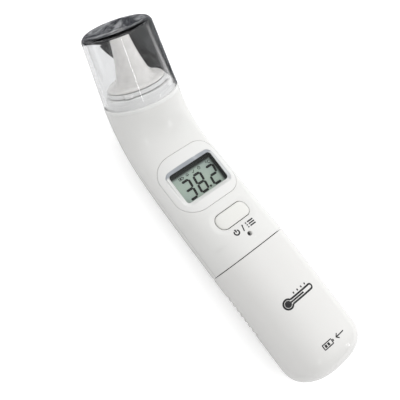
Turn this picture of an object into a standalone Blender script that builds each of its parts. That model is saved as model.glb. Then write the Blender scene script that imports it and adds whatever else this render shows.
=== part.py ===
"""Infrared ear thermometer, lying on its back.

+Z is the side with the display, +Y runs from the battery end to the probe, and the body is symmetric in X.
A station u is a distance along the body's centre line from the battery end; h is a height above the seat of
the cap, along the probe's own axis. All lengths are in metres.
"""

from math import cos, pi, radians, sin

import bmesh
import bpy
from mathutils import Matrix, Vector

MM = 0.001
GAP = 0.3 * MM

# Heights that the cutters run out to, clear of the body above and below it
ABOVE_BODY = 45.0 * MM
BELOW_BODY = -10.0 * MM

# Centre line of the body
CENTRE_Z = 12.7 * MM
BEND_START = 102.7 * MM
HEAD_START = 133.2 * MM
HEAD_ANGLE = radians(41.3)
BEND_RADIUS = (HEAD_START - BEND_START) / HEAD_ANGLE

# Body: half width, front depth, rear depth and squareness, each as (station in mm, value)
HALF_WIDTH = ((0, 16.8), (19, 16.8), (54, 17.1), (86, 17.1), (112, 16.8), (133.2, 15.8))
FRONT_DEPTH = ((0, 16.5), (19, 16.5), (54, 15.0), (84.5, 10.2), (110.5, 9.4), (133.2, 15.8))
REAR_DEPTH = ((0, 13.2), (53, 13.2), (91, 13.2), (112, 10.5), (133.2, 15.8))
SQUARENESS = ((0, 2.4), (60, 2.4), (97, 2.4), (133.2, 2.0))
END_DOME = 12.5 * MM
END_SQUARENESS = 2.8
HALF_OUTLINE_STEPS = 18
SEAM = 55.0 * MM
SHELL_STATIONS = (55.3, 61, 68, 76, 84, 91, 98, 103.5, 108, 112, 116, 120, 124, 128, 131, 132.9)
SHELL_WALL = 2.0 * MM
COVER_WALL = 1.6 * MM

# Display
PANEL_CENTRE = 91.8 * MM
PANEL_SIZE = (29.0 * MM, 26.2 * MM)
PANEL_CORNER = 8.4 * MM
PANEL_BOTTOM = 18.9 * MM
DISPLAY_CENTRE = 91.0 * MM
WINDOW_OPENING = (21.2 * MM, 13.5 * MM)
WINDOW_CORNER = 1.4 * MM
WINDOW_SIZE = (22.4 * MM, 14.7 * MM)
WINDOW_FLARE = 2.0 * MM
WINDOW_BOTTOM = 19.7 * MM
WINDOW_THICKNESS = 0.7 * MM
LCD_SIZE = (22.8 * MM, 15.4 * MM)
LCD_BOTTOM = 16.8 * MM
LCD_THICKNESS = 1.6 * MM
LCD_FRAME_MARGIN = 2.0 * MM

# Board and what is on it
BOARD_SIZE = (27.0 * MM, 48.0 * MM, 1.4 * MM)
BOARD_START = 62.0 * MM
BOARD_BOTTOM = 12.9 * MM
BOARD_TOP = BOARD_BOTTOM + BOARD_SIZE[2]

# Buttons and the latch of the battery cover
MODE_BUTTON_AT = 70.6 * MM
MODE_BUTTON_SIZE = (15.2 * MM, 6.6 * MM)
MODE_BUTTON_CORNER = 2.9 * MM
MODE_BUTTON_TRAVEL = 0.8 * MM
START_BUTTON_AT = 103.0 * MM
START_BUTTON_SIZE = (15.0 * MM, 10.0 * MM)
START_BUTTON_TRAVEL = 0.7 * MM
START_BUTTON_TOP = 4.5 * MM
START_OPENING_TOP = 8.0 * MM
SWITCH_SIZE = (5.0 * MM, 5.0 * MM)
PINHOLE_AT = 61.0 * MM
PINHOLE_RADIUS = 0.9 * MM
LATCH_SIZE = (8.0 * MM, 4.6 * MM, 1.4 * MM)

# Battery bay, two cells side by side
CELL_RADIUS = 5.25 * MM
CELL_LENGTH = 44.5 * MM
CELL_SPACING = 11.2 * MM
TRAY_START = 9.0 * MM
TRAY_END = 60.0 * MM
TRAY_HALF_WIDTH = 12.6 * MM
TRAY_WALL = 1.2 * MM
TRAY_BOTTOM = 5.8 * MM
TRAY_TOP = 18.0 * MM
TRAY_TAB = 1.5 * MM
CONTACT_THICKNESS = 0.4 * MM
CONTACT_WIDTH = 7.0 * MM
CONTACT_HEIGHT = 9.0 * MM

# Probe and cap: radii about the probe's axis
RING_RADIUS = 15.8 * MM
CAP_BASE_RADIUS = 15.6 * MM
CAP_TOP_RADIUS = 14.0 * MM
CAP_BASE = 1.5 * MM
CAP_TOP = 29.4 * MM
CAP_EDGE = 2.4 * MM
CAP_WALL = 1.4 * MM
FLANGE_BOTTOM = -1.6 * MM
CAP_BOSS_RADIUS = 13.8 * MM
CAP_BOSS_TOP = 5.0 * MM
CAP_BOSS_EDGE = 0.4 * MM
COLLAR_BORE = 10.9 * MM
NOSE_BORE = 2.15 * MM
NOSE_TIP = 25.7 * MM
NOSE_OUTLINE = ((10.6, 5.3), (8.5, 7.0), (6.7, 9.4), (5.5, 12.8), (4.4, 17.4), (3.6, 21.8), (3.2, 25.2))
NOSE_TIP_RADIUS = 2.95 * MM
SENSOR_WINDOW_RADIUS = 2.3 * MM
WAVEGUIDE_RADII = (1.35 * MM, 1.85 * MM)
COVER_FILM = 0.35 * MM
COVER_RIM_RADIUS = 11.8 * MM

# Screws
SCREW_HEAD_RADIUS = 2.0 * MM
SCREW_SHANK_RADIUS = 0.9 * MM
BOSS_RADIUS = 2.6 * MM
TRAY_SCREW_AT = (7.5 * MM, 63.6 * MM)
BOARD_SCREW_AT = (7.5 * MM, 77.0 * MM)

WHITE = (0.86, 0.86, 0.84, 1.0)
CLEAR = (0.9, 0.93, 0.95, 1.0)
STEEL = (0.62, 0.62, 0.6, 1.0)
GOLD = (0.83, 0.64, 0.28, 1.0)
BOARD_GREEN = (0.05, 0.24, 0.12, 1.0)
BLACK = (0.03, 0.03, 0.035, 1.0)
GREY = (0.35, 0.35, 0.36, 1.0)


def clear_scene():
    for item in list(bpy.data.objects):
        bpy.data.objects.remove(item, do_unlink=True)


# Body form

def smooth_value(knots, u):
    """Value at u on a curve through the knots, with each knot's slope taken from its neighbours."""
    at = min(max(u / MM, knots[0][0]), knots[-1][0])
    last = len(knots) - 1
    i = max(k for k in range(last) if knots[k][0] <= at)

    def slope(k):
        before = knots[max(k - 1, 0)]
        after = knots[min(k + 1, last)]
        return (after[1] - before[1]) / (after[0] - before[0])

    (start, low), (end, high) = knots[i], knots[i + 1]
    span = end - start
    t = (at - start) / span
    rise = (3 - 2 * t) * t * t
    bend = slope(i) * t * (1 - t) ** 2 - slope(i + 1) * (1 - t) * t ** 2
    return (low + (high - low) * rise + span * bend) * MM


def centre_line(u):
    """Y, Z and direction of the centre line: a straight handle, an arc forwards, and a straight head."""
    bend = min(max(u - BEND_START, 0.0), HEAD_START - BEND_START) / BEND_RADIUS
    beyond = max(u - HEAD_START, 0.0)
    y = min(u, BEND_START) + BEND_RADIUS * sin(bend) + beyond * cos(bend)
    z = CENTRE_Z + BEND_RADIUS * (1 - cos(bend)) + beyond * sin(bend)
    return y, z, bend


def body_point(u, x, n):
    """World point at station u, x across and n in front of the centre line."""
    y, z, bend = centre_line(u)
    return Vector((x, y - n * sin(bend) - MIDDLE_Y, z + n * cos(bend)))


def end_scale(u, inset):
    """How far the domed battery end draws the section in at station u."""
    left = max(END_DOME - u, 0.0) / (END_DOME - inset)
    return max(1 - left ** END_SQUARENESS, 0.0) ** (1 / END_SQUARENESS)


def section_point(u, turn, inset=0.0):
    """Point of the body's section at an angle turn from +X; the back is trimmed flat where it rests."""
    power = 2 / (smooth_value(SQUARENESS, u) / MM)
    scale = end_scale(u, inset)
    across, out = cos(turn), sin(turn)
    depth = smooth_value(FRONT_DEPTH if out > 0 else REAR_DEPTH, u)
    x = (smooth_value(HALF_WIDTH, u) - inset) * scale * abs(across) ** power
    n = (depth - inset) * scale * abs(out) ** power
    point = body_point(u, x if across > 0 else -x, n if out > 0 else -n)
    point.z = max(point.z, inset)
    return point


def end_stations(inset):
    """Stations over the domed end, close together where it curves most."""
    reach = END_DOME - inset
    turns = [radians(a) for a in (8, 18, 30, 44, 58, 72, 90)]
    return [inset + reach * (1 - cos(a) ** (2 / END_SQUARENESS)) for a in turns]


def full_outline(u, inset=0.0):
    steps = 2 * HALF_OUTLINE_STEPS
    return [section_point(u, 2 * pi * k / steps, inset) for k in range(steps)]


def half_outline(u, side, wall):
    """Closed outline of half a shell: out over the outer face and back along the inner one."""
    turns = [side * pi * k / HALF_OUTLINE_STEPS for k in range(HALF_OUTLINE_STEPS + 1)]
    outer = [section_point(u, turn) for turn in turns]
    inner = [section_point(u, turn, wall) for turn in reversed(turns)]
    _, _, bend = centre_line(u)
    parting = Vector((0, -sin(bend), cos(bend))) * side * GAP / 2
    for k in (0, -1):
        outer[k] += parting
        inner[k] += parting
    return outer + inner


# Making meshes

def material(name, colour, roughness, metallic=0.0, alpha=1.0):
    made = bpy.data.materials.new(name)
    made.use_nodes = True
    shader = made.node_tree.nodes["Principled BSDF"]
    shader.inputs["Base Color"].default_value = colour
    shader.inputs["Roughness"].default_value = roughness
    shader.inputs["Metallic"].default_value = metallic
    shader.inputs["Alpha"].default_value = alpha
    return made


def add_object(name, data, look=None):
    item = bpy.data.objects.new(name, data)
    bpy.context.scene.collection.objects.link(item)
    if look:
        data.materials.append(material(name + "_material", *look))
    return item


def finish_mesh(name, mesh, look=None):
    """Object from a bmesh, with its faces turned outwards and its round faces shaded smooth."""
    bmesh.ops.remove_doubles(mesh, verts=mesh.verts, dist=1e-7)
    bmesh.ops.recalc_face_normals(mesh, faces=mesh.faces)
    data = bpy.data.meshes.new(name)
    mesh.to_mesh(data)
    mesh.free()
    data.shade_smooth()
    data.set_sharp_from_angle(angle=radians(35))
    return add_object(name, data, look)


def skin(name, outlines, look=None):
    """Solid through a row of closed outlines with the same number of points."""
    mesh = bmesh.new()
    rings = [[mesh.verts.new(point) for point in outline] for outline in outlines]
    for near, far in zip(rings, rings[1:]):
        for k in range(len(near)):
            mesh.faces.new((near[k - 1], near[k], far[k], far[k - 1]))
    mesh.faces.new(rings[0])
    mesh.faces.new(rings[-1])
    return finish_mesh(name, mesh, look)


def block(name, size, centre, look=None):
    """Box with its own origin at its middle; its place is given along the body, not from the origin."""
    mesh = bmesh.new()
    bmesh.ops.create_cube(mesh, size=1.0)
    bmesh.ops.scale(mesh, vec=size, verts=mesh.verts)
    item = finish_mesh(name, mesh, look)
    item.location = (centre[0], centre[1] - MIDDLE_Y, centre[2])
    return item


def rounded_end(size):
    """Corner radius that gives an oblong its round ends."""
    return size[1] / 2 - 0.01 * MM


def rounded_outline(size, corner, z):
    """Rectangle with round corners at height z."""
    points = []
    for quarter in range(4):
        right = quarter in (0, 3)
        upper = quarter in (0, 1)
        middle_x = (size[0] / 2 - corner) * (1 if right else -1)
        middle_y = (size[1] / 2 - corner) * (1 if upper else -1)
        for k in range(7):
            turn = pi / 2 * (quarter + k / 6)
            points.append(Vector((middle_x + corner * cos(turn), middle_y + corner * sin(turn), z)))
    return points


def rounded_prism(name, size, corner, bottom, top, at, look=None, flare=0.0):
    """Upright prism with round corners, its middle at station at, wider by flare all round its top."""
    wide = (size[0] + 2 * flare, size[1] + 2 * flare)
    outlines = (rounded_outline(size, corner, bottom), rounded_outline(wide, corner + flare, top))
    item = skin(name, outlines, look)
    item.location = (0, at - MIDDLE_Y, 0)
    return item


def turned(name, outline, look=None, steps=40):
    """Solid turned about Z from (radius, height) points; the outline may start and end on the axis."""
    mesh = bmesh.new()
    points = [mesh.verts.new((radius, 0, height)) for radius, height in outline]
    edges = [mesh.edges.new(pair) for pair in zip(points, points[1:])]
    if outline[0][0] > 0:
        edges.append(mesh.edges.new((points[-1], points[0])))
    bmesh.ops.spin(
        mesh, geom=points + edges, cent=(0, 0, 0), axis=(0, 0, 1), angle=2 * pi, steps=steps, use_merge=True
    )
    return finish_mesh(name, mesh, look)


def cylinder(name, radius, bottom, top, place, look=None, steps=24):
    """Upright cylinder standing at place, an (x, station) pair."""
    item = turned(name, ((0, bottom), (radius, bottom), (radius, top), (0, top)), look, steps)
    item.location = (place[0], place[1] - MIDDLE_Y, 0)
    return item


def cutter(item):
    item.hide_render = True
    item.display_type = "WIRE"
    return item


def cut(item, other, operation="DIFFERENCE"):
    """Boolean on item; the other shape is left out of the model."""
    change = item.modifiers.new(other.name, "BOOLEAN")
    change.object = cutter(other)
    change.operation = operation
    change.solver = "EXACT"


# Casing

def make_body_form():
    """The whole outside of the body as one solid, for shaping the pieces that are flush with it."""
    stations = end_stations(0.0) + [25 * MM, 40 * MM] + [u * MM for u in SHELL_STATIONS]
    return cutter(skin("body_form", [full_outline(u) for u in stations]))


def make_front_shell():
    outlines = [half_outline(u * MM, 1, SHELL_WALL) for u in SHELL_STATIONS]
    shell = skin("front_shell", outlines, (WHITE, 0.18))
    wider = [side + 2 * GAP for side in PANEL_SIZE]
    corner = PANEL_CORNER + GAP
    cut(shell, rounded_prism("panel_opening", wider, corner, CENTRE_Z + 3 * MM, ABOVE_BODY, PANEL_CENTRE))
    wider = [side + 2 * GAP for side in MODE_BUTTON_SIZE]
    corner = MODE_BUTTON_CORNER + GAP
    cut(shell, rounded_prism("button_opening", wider, corner, CENTRE_Z, ABOVE_BODY, MODE_BUTTON_AT))
    cut(shell, cylinder("pinhole", PINHOLE_RADIUS, CENTRE_Z, ABOVE_BODY, (0, PINHOLE_AT), steps=16))


def make_rear_shell():
    outlines = [half_outline(u * MM, -1, SHELL_WALL) for u in SHELL_STATIONS]
    shell = skin("rear_shell", outlines, (WHITE, 0.18))
    wider = [side + 2 * GAP for side in START_BUTTON_SIZE]
    corner = rounded_end(wider)
    cut(shell, rounded_prism("start_opening", wider, corner, BELOW_BODY, START_OPENING_TOP, START_BUTTON_AT))
    bore = SCREW_SHANK_RADIUS + GAP
    for side in (-1, 1):
        for screw, place, top in (
            ("tray", TRAY_SCREW_AT, TRAY_BOTTOM - GAP), ("board", BOARD_SCREW_AT, BOARD_BOTTOM - GAP)
        ):
            spot = (side * place[0], place[1])
            boss = cylinder(f"{screw}_boss_{side}", BOSS_RADIUS, 0.75 * SHELL_WALL, top, spot, steps=20)
            cut(shell, boss, "UNION")
            cut(shell, cylinder(f"{screw}_pilot_{side}", bore, SHELL_WALL + GAP, top + MM, spot, steps=16))


def make_battery_cover():
    """Cup over the battery bay: up the outside from its domed end, over the mouth and down the inside."""
    outer = end_stations(0.0) + [25 * MM, 40 * MM, SEAM]
    inner = end_stations(COVER_WALL) + [25 * MM, 40 * MM, SEAM]
    outlines = [full_outline(u) for u in outer]
    outlines += [full_outline(u, COVER_WALL) for u in reversed(inner)]
    skin("battery_cover", outlines, (WHITE, 0.2))


def make_cover_latch():
    """Block under the pinhole, just below the inside of the front shell."""
    top = CENTRE_Z + smooth_value(FRONT_DEPTH, PINHOLE_AT) - SHELL_WALL - 2 * GAP
    block("cover_latch", LATCH_SIZE, (0, PINHOLE_AT, top - LATCH_SIZE[2] / 2), (GREY, 0.5))


# Display

def make_panel(body_form):
    """Panel flush with the shell, with a pocket for the window and a bevelled opening over it."""
    look = (WHITE, 0.15)
    panel = rounded_prism(
        "display_panel", PANEL_SIZE, PANEL_CORNER, PANEL_BOTTOM, ABOVE_BODY, PANEL_CENTRE, look
    )
    cut(panel, body_form, "INTERSECT")
    pocket = [side + 2 * GAP for side in WINDOW_SIZE]
    top = WINDOW_BOTTOM + WINDOW_THICKNESS + GAP
    cut(panel, rounded_prism("window_pocket", pocket, WINDOW_CORNER, PANEL_BOTTOM - MM, top, DISPLAY_CENTRE))
    cut(panel, rounded_prism(
        "window_opening", WINDOW_OPENING, WINDOW_CORNER, top - MM, top + 3 * MM, DISPLAY_CENTRE,
        flare=WINDOW_FLARE
    ))


def make_display():
    """Window, display glass in its frame, and the two strips that join the glass to the board."""
    look = (CLEAR, 0.05, 0.0, 0.3)
    top = WINDOW_BOTTOM + WINDOW_THICKNESS
    rounded_prism("display_window", WINDOW_SIZE, WINDOW_CORNER, WINDOW_BOTTOM, top, DISPLAY_CENTRE, look)
    middle = LCD_BOTTOM + LCD_THICKNESS / 2
    look = ((0.45, 0.5, 0.42, 1.0), 0.1)
    block("lcd_glass", (*LCD_SIZE, LCD_THICKNESS), (0, DISPLAY_CENTRE, middle), look)
    bottom = BOARD_TOP + GAP
    height = LCD_BOTTOM + LCD_THICKNESS - bottom
    size = (LCD_SIZE[0] + LCD_FRAME_MARGIN, LCD_SIZE[1] + LCD_FRAME_MARGIN, height)
    lcd_frame = block("lcd_frame", size, (0, DISPLAY_CENTRE, bottom + height / 2), (GREY, 0.5))
    hole = (LCD_SIZE[0] + 2 * GAP, LCD_SIZE[1] + 2 * GAP, 3 * height)
    cut(lcd_frame, block("lcd_hole", hole, (0, DISPLAY_CENTRE, middle)))
    height = LCD_BOTTOM - GAP - bottom
    for name, side in (("contact_strip_upper", 1), ("contact_strip_lower", -1)):
        at = DISPLAY_CENTRE + side * (LCD_SIZE[1] / 2 - 1.2 * MM)
        block(name, (20 * MM, 1.8 * MM, height), (0, at, bottom + height / 2), (BLACK, 0.7))


# Board, buttons and their switches

def make_board():
    middle = (0, BOARD_START + BOARD_SIZE[1] / 2, BOARD_BOTTOM + BOARD_SIZE[2] / 2)
    board = block("circuit_board", BOARD_SIZE, middle, (BOARD_GREEN, 0.4))
    for side in (-1, 1):
        spot = (side * BOARD_SCREW_AT[0], BOARD_SCREW_AT[1])
        bore = SCREW_SHANK_RADIUS + GAP
        cut(board, cylinder(f"board_hole_{side}", bore, BOARD_BOTTOM - MM, BOARD_TOP + MM, spot, steps=16))
    below = BOARD_BOTTOM - GAP
    for name, size, x, u in (
        ("processor_chip", (10 * MM, 10 * MM, 1.4 * MM), 0, 87 * MM),
        ("memory_chip", (5 * MM, 6 * MM, 1.2 * MM), 9 * MM, 96 * MM)
    ):
        block(name, size, (x, u, below - size[2] / 2), (BLACK, 0.4))
    cylinder("buzzer", 5.5 * MM, below - 3.2 * MM, below, (0, 69 * MM), (BLACK, 0.5))


def make_mode_button(body_form):
    """Oblong front button, flush with the body, on its dome switch."""
    switch_bottom = BOARD_TOP + GAP
    switch_top = switch_bottom + 1.2 * MM
    place = (0, MODE_BUTTON_AT, (switch_bottom + switch_top) / 2)
    block("mode_switch", (*SWITCH_SIZE, switch_top - switch_bottom), place, (STEEL, 0.3, 1.0))
    bottom = switch_top + MODE_BUTTON_TRAVEL + GAP
    button = rounded_prism(
        "mode_button", MODE_BUTTON_SIZE, MODE_BUTTON_CORNER, bottom, ABOVE_BODY, MODE_BUTTON_AT, (WHITE, 0.2)
    )
    cut(button, body_form, "INTERSECT")


def make_start_button(body_form):
    """Oblong button on the back, with a stem up to its switch under the board."""
    switch_top = BOARD_BOTTOM - GAP
    switch_bottom = switch_top - 2.5 * MM
    place = (0, START_BUTTON_AT, (switch_bottom + switch_top) / 2)
    block("start_switch", (*SWITCH_SIZE, switch_top - switch_bottom), place, (STEEL, 0.3, 1.0))
    top = switch_bottom - START_BUTTON_TRAVEL - GAP
    corner = rounded_end(START_BUTTON_SIZE)
    button = rounded_prism(
        "start_button", START_BUTTON_SIZE, corner, BELOW_BODY, START_BUTTON_TOP, START_BUTTON_AT, (WHITE, 0.2)
    )
    cut(button, body_form, "INTERSECT")
    cut(button, cylinder("start_stem", 2.2 * MM, 3 * MM, top, (0, START_BUTTON_AT)), "UNION")


# Battery bay

def make_tray():
    length = TRAY_END - TRAY_START
    middle = (TRAY_START + TRAY_END) / 2
    size = (2 * TRAY_HALF_WIDTH, length, TRAY_TOP - TRAY_BOTTOM)
    tray = block("battery_tray", size, (0, middle, (TRAY_BOTTOM + TRAY_TOP) / 2), (GREY, 0.5))
    hollow = (size[0] - 2 * TRAY_WALL, length - 2 * TRAY_WALL, size[2])
    cut(tray, block("tray_hollow", hollow, (0, middle, TRAY_BOTTOM + TRAY_WALL + hollow[2] / 2)))
    tab = (2 * TRAY_HALF_WIDTH, 8 * MM, TRAY_TAB)
    cut(tray, block("tray_tab", tab, (0, TRAY_END + 3 * MM, TRAY_BOTTOM + tab[2] / 2)), "UNION")
    for side in (-1, 1):
        spot = (side * TRAY_SCREW_AT[0], TRAY_SCREW_AT[1])
        bore = SCREW_SHANK_RADIUS + GAP
        below = TRAY_BOTTOM - MM
        cut(tray, cylinder(f"tray_hole_{side}", bore, below, TRAY_BOTTOM + TRAY_TAB + MM, spot, steps=16))


def make_cells_and_contacts():
    """Two cells that lie opposite ways, each with its spring, its plate and the bridge between them."""
    plate_room = CONTACT_THICKNESS + GAP
    nub_radius = 2.0 * MM
    shoulder = CELL_LENGTH - 1.0 * MM
    inside_start = TRAY_START + TRAY_WALL
    inside_end = TRAY_END - TRAY_WALL
    spring_length = inside_end - inside_start - 2 * plate_room - CELL_LENGTH - 3 * GAP
    outline = (
        (0, 0), (CELL_RADIUS, 0), (CELL_RADIUS, shoulder), (nub_radius, shoulder), (nub_radius, CELL_LENGTH),
        (0, CELL_LENGTH)
    )
    for name, side in (("left", -1), ("right", 1)):
        x = side * CELL_SPACING / 2
        nub_wall = inside_end if side > 0 else inside_start
        nub_at = nub_wall - side * (plate_room + GAP)
        cell = turned("cell_" + name, outline, (BLACK, 0.3, 0.2), 28)
        cell.rotation_euler = (-side * pi / 2, 0, 0)
        cell.location = (x, nub_at - side * CELL_LENGTH - MIDDLE_Y, CENTRE_Z)
        flat_end = nub_at - side * (CELL_LENGTH + GAP)
        make_spring("contact_spring_" + name, x, flat_end, -side, spring_length)
    look = (STEEL, 0.3, 1.0)
    from_wall = (GAP + CONTACT_THICKNESS) / 2
    bridge = (CELL_SPACING + CONTACT_WIDTH, CONTACT_THICKNESS, CONTACT_HEIGHT)
    block("contact_bridge", bridge, (0, inside_start + from_wall, CENTRE_Z), look)
    plate = (CONTACT_WIDTH, CONTACT_THICKNESS, CONTACT_HEIGHT)
    for name, side in (("contact_negative", -1), ("contact_positive", 1)):
        block(name, plate, (side * CELL_SPACING / 2, inside_end - from_wall, CENTRE_Z), look)


def make_spring(name, x, start, direction, length):
    """Round wire coil that presses on the flat end of a cell."""
    wire = 0.25 * MM
    turns = 3
    steps = 12
    curve = bpy.data.curves.new(name, "CURVE")
    curve.dimensions = "3D"
    curve.bevel_depth = wire
    curve.bevel_resolution = 1
    curve.use_fill_caps = True
    line = curve.splines.new("POLY")
    line.points.add(turns * steps)
    for k, point in enumerate(line.points):
        part = k / (turns * steps)
        turn = 2 * pi * turns * part
        radius = (2.2 + 1.0 * part) * MM
        along = direction * (wire + (length - 2 * wire) * part)
        point.co = (radius * cos(turn), along, radius * sin(turn), 1)
    item = add_object(name, curve, (STEEL, 0.25, 1.0))
    item.location = (x, start - MIDDLE_Y, CENTRE_Z)


# Screws

def make_screw(name, place, seat, length):
    """Pan head screw standing on its seat, with a hollow in its head for the driver."""
    head = 1.3 * MM
    point = 0.6 * MM
    shank, rim = SCREW_SHANK_RADIUS, SCREW_HEAD_RADIUS
    outline = (
        (0, seat - length), (shank, seat - length + point), (shank, seat), (rim, seat),
        (rim, seat + 0.8 * head), (0.7 * rim, seat + head), (0.4 * rim, seat + head), (0, seat + 0.4 * head)
    )
    item = turned(name, outline, (STEEL, 0.35, 1.0), 16)
    item.location = (place[0], place[1] - MIDDLE_Y, 0)


def make_screws():
    for name, side in (("left", -1), ("right", 1)):
        seat = TRAY_BOTTOM + TRAY_TAB + GAP
        make_screw("tray_screw_" + name, (side * TRAY_SCREW_AT[0], TRAY_SCREW_AT[1]), seat, 4.6 * MM)
        seat = BOARD_TOP + GAP
        make_screw("board_screw_" + name, (side * BOARD_SCREW_AT[0], BOARD_SCREW_AT[1]), seat, 5.4 * MM)


# Probe: everything here is turned about the probe's axis, from heights above the cap's seat

def make_head_axis():
    axis = bpy.data.objects.new("head_axis", None)
    bpy.context.scene.collection.objects.link(axis)
    axis.location = body_point(HEAD_START, 0, 0)
    axis.rotation_euler = (HEAD_ANGLE - pi / 2, 0, 0)
    return axis


def make_collar(axis):
    """Ring that closes the casing, with a boss for the cap and a skirt inside the shells."""
    skirt = RING_RADIUS - SHELL_WALL - 1.0 * MM
    skirt_inside = skirt - 0.8 * MM
    under = -0.4 * MM
    ring_top = CAP_BASE - GAP
    edge = CAP_BOSS_EDGE
    outline = (
        (COLLAR_BORE, under), (skirt_inside, under), (skirt_inside, FLANGE_BOTTOM), (skirt, FLANGE_BOTTOM),
        (skirt, 0.0), (RING_RADIUS, 0.0), (RING_RADIUS, ring_top), (CAP_BOSS_RADIUS, ring_top),
        (CAP_BOSS_RADIUS, CAP_BOSS_TOP - edge), (CAP_BOSS_RADIUS - edge, CAP_BOSS_TOP),
        (COLLAR_BORE, CAP_BOSS_TOP)
    )
    turned("collar", outline, (WHITE, 0.2)).parent = axis


def make_nose(axis):
    """Hollow cone that holds the waveguide, with a flange under the collar and a seat for the window."""
    flange_radius = 11.7 * MM
    flange_top = FLANGE_BOTTOM + 0.9 * MM
    recess = SENSOR_WINDOW_RADIUS + GAP
    seat = NOSE_TIP - 0.8 * MM
    cone = [(radius * MM, height * MM) for radius, height in NOSE_OUTLINE]
    outline = [(NOSE_BORE, FLANGE_BOTTOM), (flange_radius, FLANGE_BOTTOM), (flange_radius, flange_top)]
    outline += [(cone[0][0], flange_top)] + cone
    outline += [(NOSE_TIP_RADIUS, NOSE_TIP), (recess, NOSE_TIP), (recess, seat), (NOSE_BORE, seat)]
    turned("probe_nose", outline, (WHITE, 0.3), 30).parent = axis


def make_probe_cover(axis):
    """Thin film cone over the nose, closed at its tip, with a flat rim on the snap ring."""
    near = [(radius * MM + GAP, height * MM + GAP / 2) for radius, height in NOSE_OUTLINE[1:]]
    top = NOSE_TIP + GAP
    rim_bottom = near[0][1]
    rim_top = rim_bottom + 0.6 * MM
    outline = [(0, top + COVER_FILM), (NOSE_TIP_RADIUS + COVER_FILM, top + COVER_FILM)]
    outline += [(radius + COVER_FILM, height) for radius, height in reversed(near[1:])]
    outline += [(near[0][0] + COVER_FILM, rim_top), (COVER_RIM_RADIUS, rim_top)]
    outline += [(COVER_RIM_RADIUS, rim_bottom)]
    outline += near + [(NOSE_TIP_RADIUS + GAP / 2, top), (0, top)]
    turned("probe_cover", outline, (CLEAR, 0.3, 0.0, 0.6), 30).parent = axis


def make_cover_ring(axis):
    """Snap ring round the root of the cone, with four lugs that the cap's boss would otherwise hide."""
    bottom = CAP_BOSS_TOP + GAP
    top = 6.8 * MM
    inside, outside = 11.0 * MM, 12.4 * MM
    outline = ((inside, bottom), (outside, bottom), (outside, top), (inside, top))
    ring = turned("cover_ring", outline, (WHITE, 0.3))
    ring.parent = axis
    for quarter in range(4):
        turn = pi / 4 + quarter * pi / 2
        mesh = bmesh.new()
        bmesh.ops.create_cube(mesh, size=1.0)
        bmesh.ops.scale(mesh, vec=(1.4 * MM, 3.0 * MM, 1.0 * MM), verts=mesh.verts)
        lug = finish_mesh(f"lug_{quarter}", mesh)
        lug.parent = axis
        lug.rotation_euler = (0, 0, turn)
        lug.location = Matrix.Rotation(turn, 3, "Z") @ Vector((outside + 0.2 * MM, 0, bottom + 0.6 * MM))
        cut(ring, lug, "UNION")


def make_sensor(axis):
    """Infrared sensor behind the cone: gold tube, can, metal block and the window at the tip."""
    inside, outside = WAVEGUIDE_RADII
    bottom, top = FLANGE_BOTTOM - GAP, NOSE_TIP - 1.2 * MM
    tube = ((inside, bottom), (outside, bottom), (outside, top), (inside, top))
    turned("waveguide", tube, (GOLD, 0.2, 1.0), 24).parent = axis
    bottom = NOSE_TIP - 0.5 * MM
    window = ((0, bottom), (SENSOR_WINDOW_RADIUS, bottom), (SENSOR_WINDOW_RADIUS, NOSE_TIP), (0, NOSE_TIP))
    turned("sensor_window", window, (CLEAR, 0.1, 0.0, 0.4), 24).parent = axis
    can = (
        (0, -8.6 * MM), (4.6 * MM, -8.6 * MM), (4.6 * MM, -8.0 * MM), (4.1 * MM, -8.0 * MM),
        (4.1 * MM, -2.3 * MM), (0, -2.3 * MM)
    )
    turned("sensor_can", can, (STEEL, 0.25, 1.0), 24).parent = axis
    holder = ((4.5 * MM, -7.6 * MM), (7.5 * MM, -7.6 * MM), (7.5 * MM, -2.0 * MM), (4.5 * MM, -2.0 * MM))
    turned("sensor_block", holder, (STEEL, 0.4, 1.0), 28).parent = axis


def make_sensor_lead():
    """Flat lead from the top of the board to the back of the sensor, along the bend."""
    start, end = 106 * MM, 123.8 * MM
    half_width, half_depth = 2.5 * MM, 0.15 * MM
    corners = ((-1, -1), (1, -1), (1, 1), (-1, 1))
    steps = 8
    outlines = []
    for k in range(steps + 1):
        u = start + (end - start) * k / steps
        middle = 2.1 * MM - 1.6 * MM * k / steps
        outlines.append([body_point(u, a * half_width, middle + b * half_depth) for a, b in corners])
    skin("sensor_lead", outlines, ((0.7, 0.45, 0.15, 1.0), 0.5))


def cap_radius(height):
    """Outer radius of the cap's wall at a height above its seat."""
    part = (height - CAP_BASE) / (CAP_TOP - CAP_BASE)
    return CAP_BASE_RADIUS + (CAP_TOP_RADIUS - CAP_BASE_RADIUS) * part


def make_clear_cap(axis):
    """Clear cup over the probe, a little narrower at its round-edged top."""
    def rounded_top(inset):
        edge = CAP_EDGE - inset
        middle = CAP_TOP - CAP_EDGE
        turns = [pi / 2 * k / 5 for k in range(6)]
        wall = cap_radius(middle) - inset
        return [(wall - edge * (1 - cos(a)), middle + edge * sin(a)) for a in turns]

    outline = [(CAP_BASE_RADIUS, CAP_BASE)] + rounded_top(0.0) + [(0, CAP_TOP)]
    inner = [(CAP_BASE_RADIUS - CAP_WALL, CAP_BASE)] + rounded_top(CAP_WALL) + [(0, CAP_TOP - CAP_WALL)]
    turned("clear_cap", outline[::-1] + inner, (CLEAR, 0.03, 0.0, 0.3)).parent = axis


def overall_middle():
    """Half way from the battery end to the far edge of the cap, so that the origin is under the middle."""
    y, _, _ = centre_line(HEAD_START + CAP_TOP - CAP_EDGE)
    far = y + (cap_radius(CAP_TOP - CAP_EDGE) - CAP_EDGE) * sin(HEAD_ANGLE) + CAP_EDGE
    near = end_stations(0.0)[0]
    return (near + far) / 2


MIDDLE_Y = overall_middle()


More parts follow.
